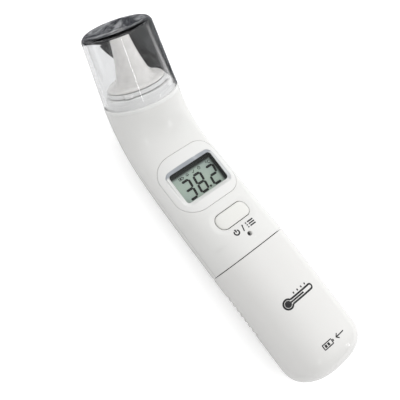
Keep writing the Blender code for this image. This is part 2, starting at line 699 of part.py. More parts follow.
def build():
    clear_scene()
    body_form = make_body_form()
    make_front_shell()
    make_rear_shell()
    make_battery_cover()
    make_cover_latch()
    make_panel(body_form)
    make_display()
    make_board()
    make_mode_button(body_form)
    make_start_button(body_form)
    make_tray()
    make_cells_and_contacts()
    make_screws()
    axis = make_head_axis()
    make_collar(axis)
    make_nose(axis)
    make_probe_cover(axis)
    make_cover_ring(axis)
    make_sensor(axis)
    make_sensor_lead()
    make_clear_cap(axis)


build()
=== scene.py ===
"""Looks of the infrared ear thermometer.

It lies on its back on a pale floor: +Z is the side with the display and +Y runs towards the probe. A
station u is a distance along the body's centre line from the battery end, and a turn goes round its section
from +X. Lengths are in metres.
"""

from math import acos, cos, pi, radians, sin

import bmesh
import bpy
from mathutils import Matrix, Vector


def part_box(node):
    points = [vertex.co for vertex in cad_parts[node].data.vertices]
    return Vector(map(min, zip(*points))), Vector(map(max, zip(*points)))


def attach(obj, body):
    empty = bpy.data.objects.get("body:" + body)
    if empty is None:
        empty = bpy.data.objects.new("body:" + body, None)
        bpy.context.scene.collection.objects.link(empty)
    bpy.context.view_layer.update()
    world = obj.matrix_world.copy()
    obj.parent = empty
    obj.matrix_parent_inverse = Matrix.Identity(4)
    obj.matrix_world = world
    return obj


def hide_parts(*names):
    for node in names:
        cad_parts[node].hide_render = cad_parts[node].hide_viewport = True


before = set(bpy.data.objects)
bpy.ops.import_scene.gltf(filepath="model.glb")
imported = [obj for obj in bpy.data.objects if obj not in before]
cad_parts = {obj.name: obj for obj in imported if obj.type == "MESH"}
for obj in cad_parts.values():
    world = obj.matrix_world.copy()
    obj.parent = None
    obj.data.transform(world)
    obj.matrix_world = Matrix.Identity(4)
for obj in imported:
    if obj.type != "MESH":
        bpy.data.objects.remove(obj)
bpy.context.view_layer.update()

MM = 0.001

# Form of the body, the same as in the part's own source
CENTRE_Z = 12.7 * MM
BEND_START = 102.7 * MM
HEAD_START = 133.2 * MM
HEAD_ANGLE = radians(41.3)
BEND_RADIUS = (HEAD_START - BEND_START) / HEAD_ANGLE
MIDDLE_Y = 80.5723 * MM
HALF_WIDTH = ((0, 16.8), (19, 16.8), (54, 17.1), (86, 17.1), (112, 16.8), (133.2, 15.8))
FRONT_DEPTH = ((0, 16.5), (19, 16.5), (54, 15.0), (84.5, 10.2), (110.5, 9.4), (133.2, 15.8))
REAR_DEPTH = ((0, 13.2), (53, 13.2), (91, 13.2), (112, 10.5), (133.2, 15.8))
SQUARENESS = ((0, 2.4), (60, 2.4), (97, 2.4), (133.2, 2.0))
END_DOME = 12.5 * MM
END_SQUARENESS = 2.8
SEAM = 55.0 * MM
SHELL_START = 55.3 * MM
SHELL_END = 133.12 * MM
SHELL_WALL = 2.0 * MM
COVER_WALL = 1.6 * MM

# Display, buttons and pinhole
PANEL_CENTRE = 91.8 * MM
PANEL_SIZE = (29.0 * MM, 26.2 * MM)
PANEL_CORNER = 8.4 * MM
PANEL_BOTTOM = 18.9 * MM
DISPLAY_CENTRE = 91.0 * MM
WINDOW_OPENING = (21.2 * MM, 13.5 * MM)
WINDOW_CORNER = 1.4 * MM
WINDOW_TOP = 20.4 * MM
LCD_SIZE = (22.8 * MM, 15.4 * MM)
LCD_BOTTOM = 16.8 * MM
LCD_TOP = 18.4 * MM
MODE_BUTTON_AT = 70.6 * MM
MODE_BUTTON_SIZE = (15.2 * MM, 6.6 * MM)
MODE_BUTTON_CORNER = 2.9 * MM
MODE_BUTTON_BOTTOM = 16.9 * MM
START_BUTTON_AT = 103.0 * MM
START_BUTTON_SIZE = (15.0 * MM, 10.0 * MM)
START_BUTTON_TOP = 4.5 * MM
PINHOLE_AT = 61.0 * MM
PINHOLE_RADIUS = 0.9 * MM

# Probe and cap: radii about the probe's axis and heights above the cap's seat
RING_RADIUS = 15.8 * MM
CAP_BASE_RADIUS = 15.6 * MM
CAP_TOP_RADIUS = 14.0 * MM
CAP_BASE = 1.5 * MM
CAP_TOP = 29.4 * MM
CAP_EDGE = 2.4 * MM
CAP_WALL = 1.4 * MM
CAP_BOSS_RADIUS = 13.8 * MM
CAP_BOSS_TOP = 5.0 * MM
NOSE_BORE = 2.15 * MM
NOSE_TIP = 25.7 * MM
NOSE_OUTLINE = ((5.3, 10.6), (7.0, 8.5), (9.4, 6.7), (12.8, 5.5), (17.4, 4.4), (21.8, 3.6), (25.2, 3.2))
NOSE_TIP_RADIUS = 2.95 * MM
NOSE_RECESS_RADIUS = 2.6 * MM
COVER_FILM = 0.35 * MM

# Closer fits than the moulded parts have, for the visible joints
PANEL_GAP = 0.07 * MM
BUTTON_GAP = 0.22 * MM
PARTING_GAP = 0.05 * MM
LIP = ((0.0, 0.30), (0.04, 0.12), (0.12, 0.03), (0.26, 0.0))

# Mesh density
ACROSS = 60
OPENING_RINGS = 22
SIDE_TURN = 0.012


# Body form

def smooth_value(knots, u):
    """Value at u on a curve through the knots, with each knot's slope taken from its neighbours."""
    at = min(max(u / MM, knots[0][0]), knots[-1][0])
    last = len(knots) - 1
    i = max(k for k in range(last) if knots[k][0] <= at)

    def slope(k):
        before = knots[max(k - 1, 0)]
        after = knots[min(k + 1, last)]
        return (after[1] - before[1]) / (after[0] - before[0])

    (start, low), (end, high) = knots[i], knots[i + 1]
    span = end - start
    t = (at - start) / span
    rise = (3 - 2 * t) * t * t
    bend = slope(i) * t * (1 - t) ** 2 - slope(i + 1) * (1 - t) * t ** 2
    return (low + (high - low) * rise + span * bend) * MM


def centre_line(u):
    """Y, Z and direction of the centre line: a straight handle, an arc forwards, and a straight head."""
    bend = min(max(u - BEND_START, 0.0), HEAD_START - BEND_START) / BEND_RADIUS
    beyond = max(u - HEAD_START, 0.0)
    y = min(u, BEND_START) + BEND_RADIUS * sin(bend) + beyond * cos(bend)
    z = CENTRE_Z + BEND_RADIUS * (1 - cos(bend)) + beyond * sin(bend)
    return y, z, bend


def body_point(u, x, n):
    """Point at station u, x across and n in front of the centre line."""
    y, z, bend = centre_line(u)
    return Vector((x, y - n * sin(bend) - MIDDLE_Y, z + n * cos(bend)))


def end_scale(u, inset):
    left = max(END_DOME - u, 0.0) / (END_DOME - inset)
    return max(1 - left ** END_SQUARENESS, 0.0) ** (1 / END_SQUARENESS)


def section_place(u, turn, inset=0.0):
    """Across and forward distances of the body's surface at station u and an angle turn from +X."""
    power = 2 / (smooth_value(SQUARENESS, u) / MM)
    scale = end_scale(u, inset)
    across, out = cos(turn), sin(turn)
    depth = smooth_value(FRONT_DEPTH if out > 0 else REAR_DEPTH, u)
    x = (smooth_value(HALF_WIDTH, u) - inset) * scale * abs(across) ** power
    n = (depth - inset) * scale * abs(out) ** power
    return (x if across > 0 else -x), (n if out > 0 else -n)


def section_point(u, turn, inset=0.0):
    """Point of the body's surface, trimmed flat at the back where it rests."""
    point = body_point(u, *section_place(u, turn, inset))
    point.z = max(point.z, inset)
    return point


def turn_at(x, u):
    """Angle of the section that lies x across at station u."""
    share = min(abs(x) / smooth_value(HALF_WIDTH, u), 1.0)
    turn = acos(share ** (smooth_value(SQUARENESS, u) / MM / 2))
    return turn if x >= 0 else pi - turn


def surface_point(x, u, side=1, drop=0.0):
    """Point of the front (side 1) or the back (side -1), x across and drop below the surface."""
    _, n = section_place(u, side * turn_at(x, u))
    point = body_point(u, x, n - side * drop)
    if side < 0:
        point.z = max(point.z, drop)
    return point


# Outlines

def rounded_ring(size, corner, middle_u, across, rise):
    """Round-cornered outline as (x, u) points: up the right side, back over the top, down and along."""
    reach_x = size[0] / 2 - corner
    reach_u = size[1] / 2 - corner
    quarter = corner * pi / 4

    def side_point(half_run, share):
        at = share * 2 * (quarter + half_run)
        if at < quarter:
            turn = at / corner - pi / 4
            return corner * cos(turn), corner * sin(turn) - half_run
        if at <= quarter + 2 * half_run:
            return corner, at - quarter - half_run
        turn = (at - quarter - 2 * half_run) / corner
        return corner * cos(turn), corner * sin(turn) + half_run

    ring = []
    for turns, reach, half_run, steps in (
        (0, reach_x, reach_u, rise), (1, reach_u, reach_x, across),
        (2, reach_x, reach_u, rise), (3, reach_u, reach_x, across)
    ):
        for k in range(steps):
            out, along = side_point(half_run, k / steps)
            x, y = reach + out, along
            for _ in range(turns):
                x, y = -y, x
            ring.append((x, middle_u + y))
    return ring


def offset_ring(size, corner, middle_u, offset, across, rise):
    grown = (size[0] + 2 * offset, size[1] + 2 * offset)
    return rounded_ring(grown, corner + offset, middle_u, across, rise)


def mixed(near, far, share):
    return [tuple(a + (b - a) * share for a, b in zip(p, q)) for p, q in zip(near, far)]


# Making meshes

def finish_mesh(name, mesh, body, look, sharp=40):
    """Piece from a bmesh that rides on a CAD body."""
    bmesh.ops.remove_doubles(mesh, verts=mesh.verts, dist=2e-7)
    bmesh.ops.recalc_face_normals(mesh, faces=mesh.faces)
    data = bpy.data.meshes.new(name)
    mesh.to_mesh(data)
    mesh.free()
    data.shade_smooth()
    data.set_sharp_from_angle(angle=radians(sharp))
    data.materials.append(look)
    piece = bpy.data.objects.new(name, data)
    bpy.context.scene.collection.objects.link(piece)
    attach(piece, body)
    return piece


def join_rings(mesh, rings, closed=False):
    """Faces between neighbouring rings of points; closed also joins the last ring to the first."""
    made = [[mesh.verts.new(point) for point in ring] for ring in rings]
    pairs = list(zip(made, made[1:]))
    if closed:
        pairs.append((made[-1], made[0]))
    for near, far in pairs:
        for k in range(len(near)):
            mesh.faces.new((near[k - 1], near[k], far[k], far[k - 1]))
    return made


def fill_ring(mesh, ring, across, rise):
    """Closes a rounded ring with a strip between its two long runs and one face at each end."""
    count = len(ring)
    for k in range(across):
        mesh.faces.new((
            ring[rise + k], ring[rise + k + 1], ring[(count - k - 1) % count], ring[(count - k) % count]
        ))
    if rise > 1:
        mesh.faces.new(ring[:rise + 1])
        mesh.faces.new(ring[rise + across:2 * rise + across + 1])


def turned(name, outline, body, look, steps=128, place=None, sharp=40):
    """Solid turned about the probe's axis, or about place, from (radius, height) points."""
    mesh = bmesh.new()
    points = [mesh.verts.new((radius, 0, height)) for radius, height in outline]
    edges = [mesh.edges.new(pair) for pair in zip(points, points[1:])]
    if outline[0][0] > 0:
        edges.append(mesh.edges.new((points[-1], points[0])))
    bmesh.ops.spin(
        mesh, geom=points + edges, cent=(0, 0, 0), axis=(0, 0, 1), angle=2 * pi, steps=steps, use_merge=True
    )
    mesh.transform(place or PROBE_PLACE)
    return finish_mesh(name, mesh, body, look, sharp)


HEAD_TURN = Matrix.Rotation(HEAD_ANGLE - pi / 2, 4, "X")
PROBE_PLACE = Matrix.Translation(body_point(HEAD_START, 0, 0)) @ HEAD_TURN


def rounded_corners(points, radius, steps=4):
    """Outline with the corner at each point rounded; points holds (radius, height) pairs in order."""
    made = [points[0]]
    for before, at, after in zip(points, points[1:], points[2:]):
        a, b, c = Vector(before), Vector(at), Vector(after)
        reach = min(radius, (a - b).length * 0.45, (c - b).length * 0.45)
        start = b + (a - b).normalized() * reach
        end = b + (c - b).normalized() * reach
        for k in range(steps + 1):
            t = k / steps
            made.append(tuple(start * (1 - t) ** 2 + b * 2 * t * (1 - t) + end * t * t))
    made.append(points[-1])
    return made


# Shells: a sheet is a list of spots, each (turn, station, drop, straight), and the faces between them

def new_sheet():
    return {"spots": [], "index": {}, "faces": []}


def spot(sheet, turn, u, drop=0.0, straight=False):
    key = (round(turn, 5), round(u, 6), round(drop, 6))
    if key not in sheet["index"]:
        sheet["index"][key] = len(sheet["spots"])
        sheet["spots"].append((turn, u, drop, straight))
    return sheet["index"][key]


def column_turns():
    inner = [SIDE_TURN + (pi - 2 * SIDE_TURN) * k / ACROSS for k in range(ACROSS + 1)]
    return [0.0] + inner + [pi]


def side_drop(turn):
    return 0.12 * MM if turn in (0.0, pi) else 0.0


def add_rows(sheet, rows):
    """Plain stretch of a shell through rows of (station, drop)."""
    turns = column_turns()
    for (u, drop), (next_u, next_drop) in zip(rows, rows[1:]):
        for a, b in zip(turns, turns[1:]):
            sheet["faces"].append((
                spot(sheet, a, u, max(drop, side_drop(a))), spot(sheet, b, u, max(drop, side_drop(b))),
                spot(sheet, b, next_u, max(next_drop, side_drop(b))),
                spot(sheet, a, next_u, max(next_drop, side_drop(a)))
            ))


def add_opening(sheet, start, end, rise, size, corner, middle_u, profile):
    """Stretch of a shell round one opening, whose edge follows a profile of (offset, drop) pairs in mm."""
    rings = []
    for offset, drop in profile:
        outline = offset_ring(size, corner, middle_u, offset * MM, ACROSS, rise)
        rings.append([(turn_at(x, u), u, drop * MM) for x, u in outline])
    turns = column_turns()[1:-1]
    stations = [start + (end - start) * k / rise for k in range(rise + 1)]
    edge = [(turns[0], u, 0.0) for u in stations[:-1]]
    edge += [(turn, end, 0.0) for turn in turns[:-1]]
    edge += [(turns[-1], u, 0.0) for u in reversed(stations[1:])]
    edge += [(turn, start, 0.0) for turn in reversed(turns[1:])]
    straight = [True] * len(rings)
    outermost = rings[-1]
    for k in range(1, OPENING_RINGS + 1):
        rings.append(mixed(outermost, edge, (k / OPENING_RINGS) ** 1.3))
        straight.append(False)
    indices = [
        [spot(sheet, *place, straight=flag) for place in ring] for ring, flag in zip(rings, straight)
    ]
    for near, far in zip(indices, indices[1:]):
        for k in range(len(near)):
            sheet["faces"].append((near[k - 1], near[k], far[k], far[k - 1]))
    for outer_turn, inner_turn in ((0.0, turns[0]), (pi, turns[-1])):
        for u, next_u in zip(stations, stations[1:]):
            sheet["faces"].append((
                spot(sheet, outer_turn, u, side_drop(outer_turn)), spot(sheet, inner_turn, u),
                spot(sheet, inner_turn, next_u), spot(sheet, outer_turn, next_u, side_drop(outer_turn))
            ))


def sheet_solid(mesh, sheet, side, wall):
    """Turns a sheet into a wall with an outer and an inner face and closed edges."""
    outer, inner = [], []
    for turn, u, drop, straight in sheet["spots"]:
        if straight:
            x, _ = section_place(u, turn)
            near, far = surface_point(x, u, side, drop), surface_point(x, u, side, wall)
        else:
            near, far = section_point(u, side * turn, drop), section_point(u, side * turn, wall)
        if turn in (0.0, pi):
            _, _, bend = centre_line(u)
            parting = Vector((0, -sin(bend), cos(bend))) * side * PARTING_GAP
            near, far = near + parting, far + parting
        outer.append(mesh.verts.new(near))
        inner.append(mesh.verts.new(far))
    used = {}
    for face in sheet["faces"]:
        mesh.faces.new([outer[k] for k in face])
        mesh.faces.new([inner[k] for k in reversed(face)])
        for a, b in zip(face, face[1:] + face[:1]):
            used.setdefault(frozenset((a, b)), []).append((a, b))
    for sides in used.values():
        if len(sides) == 1:
            a, b = sides[0]
            mesh.faces.new((outer[b], outer[a], inner[a], inner[b]))


def stations_between(start, end, step):
    count = max(1, round((end - start) / step))
    return [start + (end - start) * k / count for k in range(count + 1)]


def plain_rows(start, end, step=1.2 * MM):
    return [(u, 0.0) for u in stations_between(start, end, step)]


def first_rows(until):
    """Rows of a shell from its rounded edge at the seam."""
    edge = [(SHELL_START, 0.2 * MM), (SHELL_START + 0.06 * MM, 0.05 * MM), (SHELL_START + 0.2 * MM, 0.0)]
    return edge + [(until, 0.0)]


def last_rows(start):
    """Rows of a shell up to its edge at the collar."""
    rows = plain_rows(start, SHELL_END - 0.25 * MM)
    return rows + [(SHELL_END - 0.05 * MM, 0.01 * MM), (SHELL_END, 0.05 * MM)]


# Shader groups and materials

def new_group(name, inputs, outputs):
    """Empty shader group with float or colour sockets, and its input and output nodes."""
    group = bpy.data.node_groups.new(name, "ShaderNodeTree")
    for socket, kind, value in inputs:
        made = group.interface.new_socket(name=socket, in_out="INPUT", socket_type=kind)
        made.default_value = value
    for socket, kind in outputs:
        group.interface.new_socket(name=socket, in_out="OUTPUT", socket_type=kind)
    source = group.nodes.new("NodeGroupInput")
    result = group.nodes.new("NodeGroupOutput")
    return group, source, result


def math_node(tree, operation, first, second, clamp=False):
    node = tree.nodes.new("ShaderNodeMath")
    node.operation = operation
    node.use_clamp = clamp
    for socket, value in zip(node.inputs, (first, second)):
        if isinstance(value, (int, float)):
            socket.default_value = value
        else:
            tree.links.new(value, socket)
    return node.outputs[0]


def noise_node(tree, vector, scale, detail=2.0, roughness=0.5, distortion=0.0):
    node = tree.nodes.new("ShaderNodeTexNoise")
    node.inputs["Detail"].default_value = detail
    node.inputs["Roughness"].default_value = roughness
    node.inputs["Distortion"].default_value = distortion
    tree.links.new(vector, node.inputs["Vector"])
    if isinstance(scale, (int, float)):
        node.inputs["Scale"].default_value = scale
    else:
        tree.links.new(scale, node.inputs["Scale"])
    return node.outputs["Fac"]


def ramp_node(tree, value, low, high, start=0.0, end=1.0):
    """Value mapped smoothly from low..high to start..end."""
    node = tree.nodes.new("ShaderNodeMapRange")
    node.interpolation_type = "SMOOTHSTEP"
    node.inputs["From Min"].default_value = low
    node.inputs["From Max"].default_value = high
    node.inputs["To Min"].default_value = start
    node.inputs["To Max"].default_value = end
    tree.links.new(value, node.inputs["Value"])
    return node.outputs["Result"]


def mix_colour(tree, share, first, second, blend="MIX"):
    node = tree.nodes.new("ShaderNodeMix")
    node.data_type = "RGBA"
    node.blend_type = blend
    sockets = (node.inputs["Factor"], node.inputs[6], node.inputs[7])
    for socket, value in zip(sockets, (share, first, second)):
        if isinstance(value, (int, float, tuple)):
            socket.default_value = value
        else:
            tree.links.new(value, socket)
    return node.outputs[2]


def vector_node(tree, operation, first, second=(0.0, 0.0, 0.0)):
    node = tree.nodes.new("ShaderNodeVectorMath")
    node.operation = operation
    tree.links.new(first, node.inputs[0])
    node.inputs[1].default_value = second
    return node.outputs["Vector"]


def object_place(tree):
    return tree.nodes.new("ShaderNodeTexCoord").outputs["Object"]


def make_tint_group():
    """Slow drifts and fine specks of tone over a moulded surface, and the roughness that goes with them."""
    group, source, result = new_group("moulded_tone", [
        ("Colour", "NodeSocketColor", (0.8, 0.8, 0.8, 1.0)),
        ("Shade", "NodeSocketColor", (0.7, 0.7, 0.7, 1.0)),
        ("Drift Scale", "NodeSocketFloat", 60.0), ("Drift", "NodeSocketFloat", 0.3),
        ("Speck Scale", "NodeSocketFloat", 2500.0), ("Speck", "NodeSocketFloat", 0.1),
        ("Roughness", "NodeSocketFloat", 0.25), ("Roughness Spread", "NodeSocketFloat", 0.06)
    ], [("Colour", "NodeSocketColor"), ("Roughness", "NodeSocketFloat")])
    place = object_place(group)
    drift = noise_node(group, place, source.outputs["Drift Scale"], 3.0)
    speck = noise_node(group, place, source.outputs["Speck Scale"], 2.0)
    share = math_node(group, "MULTIPLY", ramp_node(group, drift, 0.35, 0.68), source.outputs["Drift"])
    fine = math_node(group, "MULTIPLY", ramp_node(group, speck, 0.52, 0.72), source.outputs["Speck"])
    total = math_node(group, "ADD", share, fine, clamp=True)
    colour = mix_colour(group, total, source.outputs["Colour"], source.outputs["Shade"])
    group.links.new(colour, result.inputs["Colour"])
    smear = noise_node(group, place, 140.0, 4.0, 0.6, 0.8)
    centred = math_node(group, "SUBTRACT", smear, 0.5)
    swing = math_node(group, "MULTIPLY", centred, source.outputs["Roughness Spread"])
    wide = math_node(group, "MULTIPLY", swing, 4.0)
    rough = math_node(group, "ADD", source.outputs["Roughness"], wide, clamp=True)
    group.links.new(rough, result.inputs["Roughness"])
    return group


def make_grain_group():
    """Height of a fine moulded grain with shallow waves under it."""
    group, source, result = new_group("fine_grain", [
        ("Grain Scale", "NodeSocketFloat", 3000.0), ("Wave Scale", "NodeSocketFloat", 220.0),
        ("Grain", "NodeSocketFloat", 0.4), ("Wave", "NodeSocketFloat", 0.6)
    ], [("Height", "NodeSocketFloat")])
    place = object_place(group)
    grain = noise_node(group, place, source.outputs["Grain Scale"], 3.0, 0.6)
    wave = noise_node(group, place, source.outputs["Wave Scale"], 1.0, 0.4)
    fine = math_node(group, "MULTIPLY", grain, source.outputs["Grain"])
    slow = math_node(group, "MULTIPLY", wave, source.outputs["Wave"])
    group.links.new(math_node(group, "ADD", fine, slow), result.inputs["Height"])
    return group


def make_wear_group():
    """Mask of rubbed edges: where the surface turns outwards, broken up by noise."""
    group, source, result = new_group("edge_wear", [
        ("Amount", "NodeSocketFloat", 0.4), ("Patch Scale", "NodeSocketFloat", 400.0)
    ], [("Mask", "NodeSocketFloat")])
    pointed = group.nodes.new("ShaderNodeNewGeometry").outputs["Pointiness"]
    edge = ramp_node(group, pointed, 0.52, 0.62)
    patch = noise_node(group, object_place(group), source.outputs["Patch Scale"], 3.0)
    broken = math_node(group, "MULTIPLY", edge, ramp_node(group, patch, 0.4, 0.65))
    group.links.new(math_node(group, "MULTIPLY", broken, source.outputs["Amount"]), result.inputs["Mask"])
    return group


def make_scratch_group():
    """Mask of fine hairline scratches in two directions."""
    group, source, result = new_group("hairlines", [
        ("Scale", "NodeSocketFloat", 90.0), ("Amount", "NodeSocketFloat", 0.5)
    ], [("Mask", "NodeSocketFloat")])
    place = object_place(group)
    masks = []
    for turn, stretch in ((0.5, 14.0), (2.0, 22.0)):
        mapping = group.nodes.new("ShaderNodeMapping")
        mapping.inputs["Rotation"].default_value = (turn, turn * 0.6, turn)
        mapping.inputs["Scale"].default_value = (1.0, stretch, stretch * 0.5)
        group.links.new(place, mapping.inputs["Vector"])
        fibre = noise_node(group, mapping.outputs["Vector"], source.outputs["Scale"], 2.0, 0.5, 0.3)
        away = math_node(group, "ABSOLUTE", math_node(group, "SUBTRACT", fibre, 0.5), 0.0)
        masks.append(ramp_node(group, away, 0.0, 0.02, 1.0, 0.0))
    both = math_node(group, "MAXIMUM", masks[0], masks[1])
    group.links.new(math_node(group, "MULTIPLY", both, source.outputs["Amount"]), result.inputs["Mask"])
    return group


TONE = make_tint_group()
GRAIN = make_grain_group()
WEAR = make_wear_group()
HAIRLINES = make_scratch_group()


def new_material(name):
    made = bpy.data.materials.new(name)
    made.use_nodes = True
    return made, made.node_tree, made.node_tree.nodes["Principled BSDF"]


def use_group(tree, group, **values):
    node = tree.nodes.new("ShaderNodeGroup")
    node.node_tree = group
    for socket, value in values.items():
        node.inputs[socket.replace("_", " ")].default_value = value
    return node


def add_bump(tree, shader, height, strength, distance):
    bump = tree.nodes.new("ShaderNodeBump")
    bump.inputs["Strength"].default_value = strength
    bump.inputs["Distance"].default_value = distance
    tree.links.new(height, bump.inputs["Height"])
    tree.links.new(bump.outputs["Normal"], shader.inputs["Normal"])


def moulded(name, colour, shade, roughness, spread=0.05, drift=0.35, speck=0.1, grain=0.35, wave=0.5,
            strength=0.12, wear=0.35, worn=(0.9, 0.9, 0.88, 1.0), metallic=0.0, coat=0.0, ior=1.5):
    """Moulded plastic, painted or cast metal: tone, roughness, grain and rubbed edges."""
    made, tree, shader = new_material(name)
    tone = use_group(tree, TONE, Colour=colour, Shade=shade, Drift=drift, Speck=speck, Roughness=roughness,
                     Roughness_Spread=spread)
    rubbed = use_group(tree, WEAR, Amount=wear)
    coloured = mix_colour(tree, rubbed.outputs["Mask"], tone.outputs["Colour"], worn)
    tree.links.new(coloured, shader.inputs["Base Color"])
    tree.links.new(tone.outputs["Roughness"], shader.inputs["Roughness"])
    height = use_group(tree, GRAIN, Grain=grain, Wave=wave)
    add_bump(tree, shader, height.outputs["Height"], strength, 0.02 * MM)
    shader.inputs["Metallic"].default_value = metallic
    shader.inputs["Coat Weight"].default_value = coat
    shader.inputs["Coat Roughness"].default_value = 0.08
    shader.inputs["IOR"].default_value = ior
    return made


def let_light_through(tree, shader, tint):
    """Lamps and diffuse light pass straight through a clear material."""
    output = tree.nodes["Material Output"]
    path = tree.nodes.new("ShaderNodeLightPath")
    passes = math_node(tree, "MAXIMUM", path.outputs["Is Shadow Ray"], path.outputs["Is Diffuse Ray"])
    clear = tree.nodes.new("ShaderNodeBsdfTransparent")
    clear.inputs["Color"].default_value = tint
    mix = tree.nodes.new("ShaderNodeMixShader")
    tree.links.new(passes, mix.inputs[0])
    tree.links.new(shader.outputs[0], mix.inputs[1])
    tree.links.new(clear.outputs[0], mix.inputs[2])
    tree.links.new(mix.outputs[0], output.inputs["Surface"])


def clear_plastic(name, colour, roughness, scratches, waviness, tint):
    """Clear moulded plastic with handling hairlines."""
    made, tree, shader = new_material(name)
    shader.inputs["Transmission Weight"].default_value = 1.0
    shader.inputs["IOR"].default_value = 1.49
    shade = tuple(c * 0.97 for c in colour[:3]) + (1.0,)
    tone = use_group(tree, TONE, Colour=colour, Shade=shade, Drift=0.6, Speck=0.05, Roughness=roughness,
                     Roughness_Spread=roughness * 0.4)
    tree.links.new(tone.outputs["Colour"], shader.inputs["Base Color"])
    lines = use_group(tree, HAIRLINES, Amount=scratches)
    rough = math_node(tree, "ADD", tone.outputs["Roughness"], lines.outputs["Mask"], clamp=True)
    tree.links.new(rough, shader.inputs["Roughness"])
    height = use_group(tree, GRAIN, Grain=0.02, Wave=1.0, Wave_Scale=120.0)
    add_bump(tree, shader, height.outputs["Height"], waviness, 0.05 * MM)
    let_light_through(tree, shader, tint)
    return made


def banded(name, first, second, axis, period, share, roughness, metallic=0.0):
    """Fine regular bands of two tones across one axis."""
    made, tree, shader = new_material(name)
    parts = tree.nodes.new("ShaderNodeSeparateXYZ")
    tree.links.new(object_place(tree), parts.inputs[0])
    wave = math_node(tree, "SINE", math_node(tree, "MULTIPLY", parts.outputs[axis], 2 * pi / period), 0.0)
    mask = ramp_node(tree, wave, share - 0.15, share + 0.15)
    tree.links.new(mix_colour(tree, mask, first, second), shader.inputs["Base Color"])
    tone = use_group(tree, TONE, Roughness=roughness, Roughness_Spread=0.05)
    tree.links.new(tone.outputs["Roughness"], shader.inputs["Roughness"])
    add_bump(tree, shader, mask, 0.3, 0.02 * MM)
    shader.inputs["Metallic"].default_value = metallic
    return made


def lcd_material():
    """Grey-green reflective display, with painted shade, near black, along its upper and right edges,
    standing in for the shade of its housing.
    """
    made, tree, shader = new_material("display_glass")
    tone = use_group(tree, TONE, Colour=(0.47, 0.56, 0.49, 1.0), Shade=(0.43, 0.51, 0.49, 1.0), Drift=0.7,
                     Drift_Scale=90.0, Speck=0.25, Speck_Scale=5200.0, Roughness=0.22,
                     Roughness_Spread=0.04)
    parts = tree.nodes.new("ShaderNodeSeparateXYZ")
    tree.links.new(object_place(tree), parts.inputs[0])
    upper = DISPLAY_CENTRE + WINDOW_OPENING[1] / 2 - MIDDLE_Y
    right = WINDOW_OPENING[0] / 2
    # Painted shade: the display colour darkens to near black along its upper and right edges, where the
    # housing's shade falls.
    above = ramp_node(tree, parts.outputs["Y"], upper - 2.9 * MM, upper - 1.4 * MM)
    beside = ramp_node(tree, parts.outputs["X"], right - 2.0 * MM, right - 0.2 * MM)
    painted_shade = math_node(tree, "MAXIMUM", above, beside)
    colour = mix_colour(tree, painted_shade, tone.outputs["Colour"], (0.022, 0.026, 0.024, 1.0))
    tree.links.new(colour, shader.inputs["Base Color"])
    tree.links.new(tone.outputs["Roughness"], shader.inputs["Roughness"])
    height = use_group(tree, GRAIN, Grain=0.2, Wave=0.1)
    add_bump(tree, shader, height.outputs["Height"], 0.05, 0.02 * MM)
    return made


def panel_material():
    """Glossy white panel, with a painted grey-blue tone on the upper and right walls of its opening:
    painted shade, and a painted reflection of the darker room these walls face.
    """
    made = moulded("gloss_white_panel", (0.80, 0.80, 0.79, 1.0), (0.77, 0.77, 0.755, 1.0), 0.14, 0.03,
                   drift=0.25, speck=0.03, wave=0.4, strength=0.08, coat=0.2)
    tree = made.node_tree
    shader = tree.nodes["Principled BSDF"]
    plain = shader.inputs["Base Color"].links[0].from_socket
    # Painted shade and painted reflection: the upper wall of the opening turns grey-blue, and the right
    # wall about half as much.
    place = vector_node(tree, "SUBTRACT", object_place(tree), (0.0, DISPLAY_CENTRE - MIDDLE_Y, 0.0))
    flat = vector_node(tree, "MULTIPLY", place, (1.0, 1.0, 0.0))
    straight = (WINDOW_OPENING[0] / 2 - WINDOW_CORNER, WINDOW_OPENING[1] / 2 - WINDOW_CORNER, 0.0)
    beyond = vector_node(tree, "SUBTRACT", vector_node(tree, "ABSOLUTE", flat), straight)
    outside = vector_node(tree, "MAXIMUM", beyond, (0.0, 0.0, 0.0))
    length = tree.nodes.new("ShaderNodeVectorMath")
    length.operation = "LENGTH"
    tree.links.new(outside, length.inputs[0])
    rim = WINDOW_CORNER + 1.3 * MM
    wall = ramp_node(tree, length.outputs["Value"], rim, rim + 0.25 * MM, 1.0, 0.0)
    parts = tree.nodes.new("ShaderNodeSeparateXYZ")
    tree.links.new(place, parts.inputs[0])
    upper = ramp_node(tree, parts.outputs["Y"], WINDOW_OPENING[1] / 2 - 1.0 * MM, WINDOW_OPENING[1] / 2)
    right = ramp_node(tree, parts.outputs["X"], WINDOW_OPENING[0] / 2 - 1.0 * MM, WINDOW_OPENING[0] / 2)
    painted_wall_shade = math_node(tree, "MAXIMUM", upper, math_node(tree, "MULTIPLY", right, 0.45))
    painted_shade = mix_colour(tree, math_node(tree, "MULTIPLY", wall, painted_wall_shade), plain, (0.40, 0.425, 0.46, 1.0))
    tree.links.new(painted_shade, shader.inputs["Base Color"])
    return made


def film_material():
    """Thin milky film, denser where it is drawn thick."""
    made, tree, shader = new_material("milky_film")
    tone = use_group(tree, TONE, Colour=(0.90, 0.885, 0.86, 1.0), Shade=(0.84, 0.825, 0.80, 1.0), Drift=0.5,
                     Roughness=0.24, Roughness_Spread=0.06)
    tree.links.new(tone.outputs["Colour"], shader.inputs["Base Color"])
    tree.links.new(tone.outputs["Roughness"], shader.inputs["Roughness"])
    cloud = noise_node(tree, object_place(tree), 260.0, 3.0)
    tree.links.new(ramp_node(tree, cloud, 0.3, 0.7, 0.78, 0.9), shader.inputs["Alpha"])
    height = use_group(tree, GRAIN, Grain=0.1, Wave=0.8, Wave_Scale=300.0)
    add_bump(tree, shader, height.outputs["Height"], 0.2, 0.03 * MM)
    return made


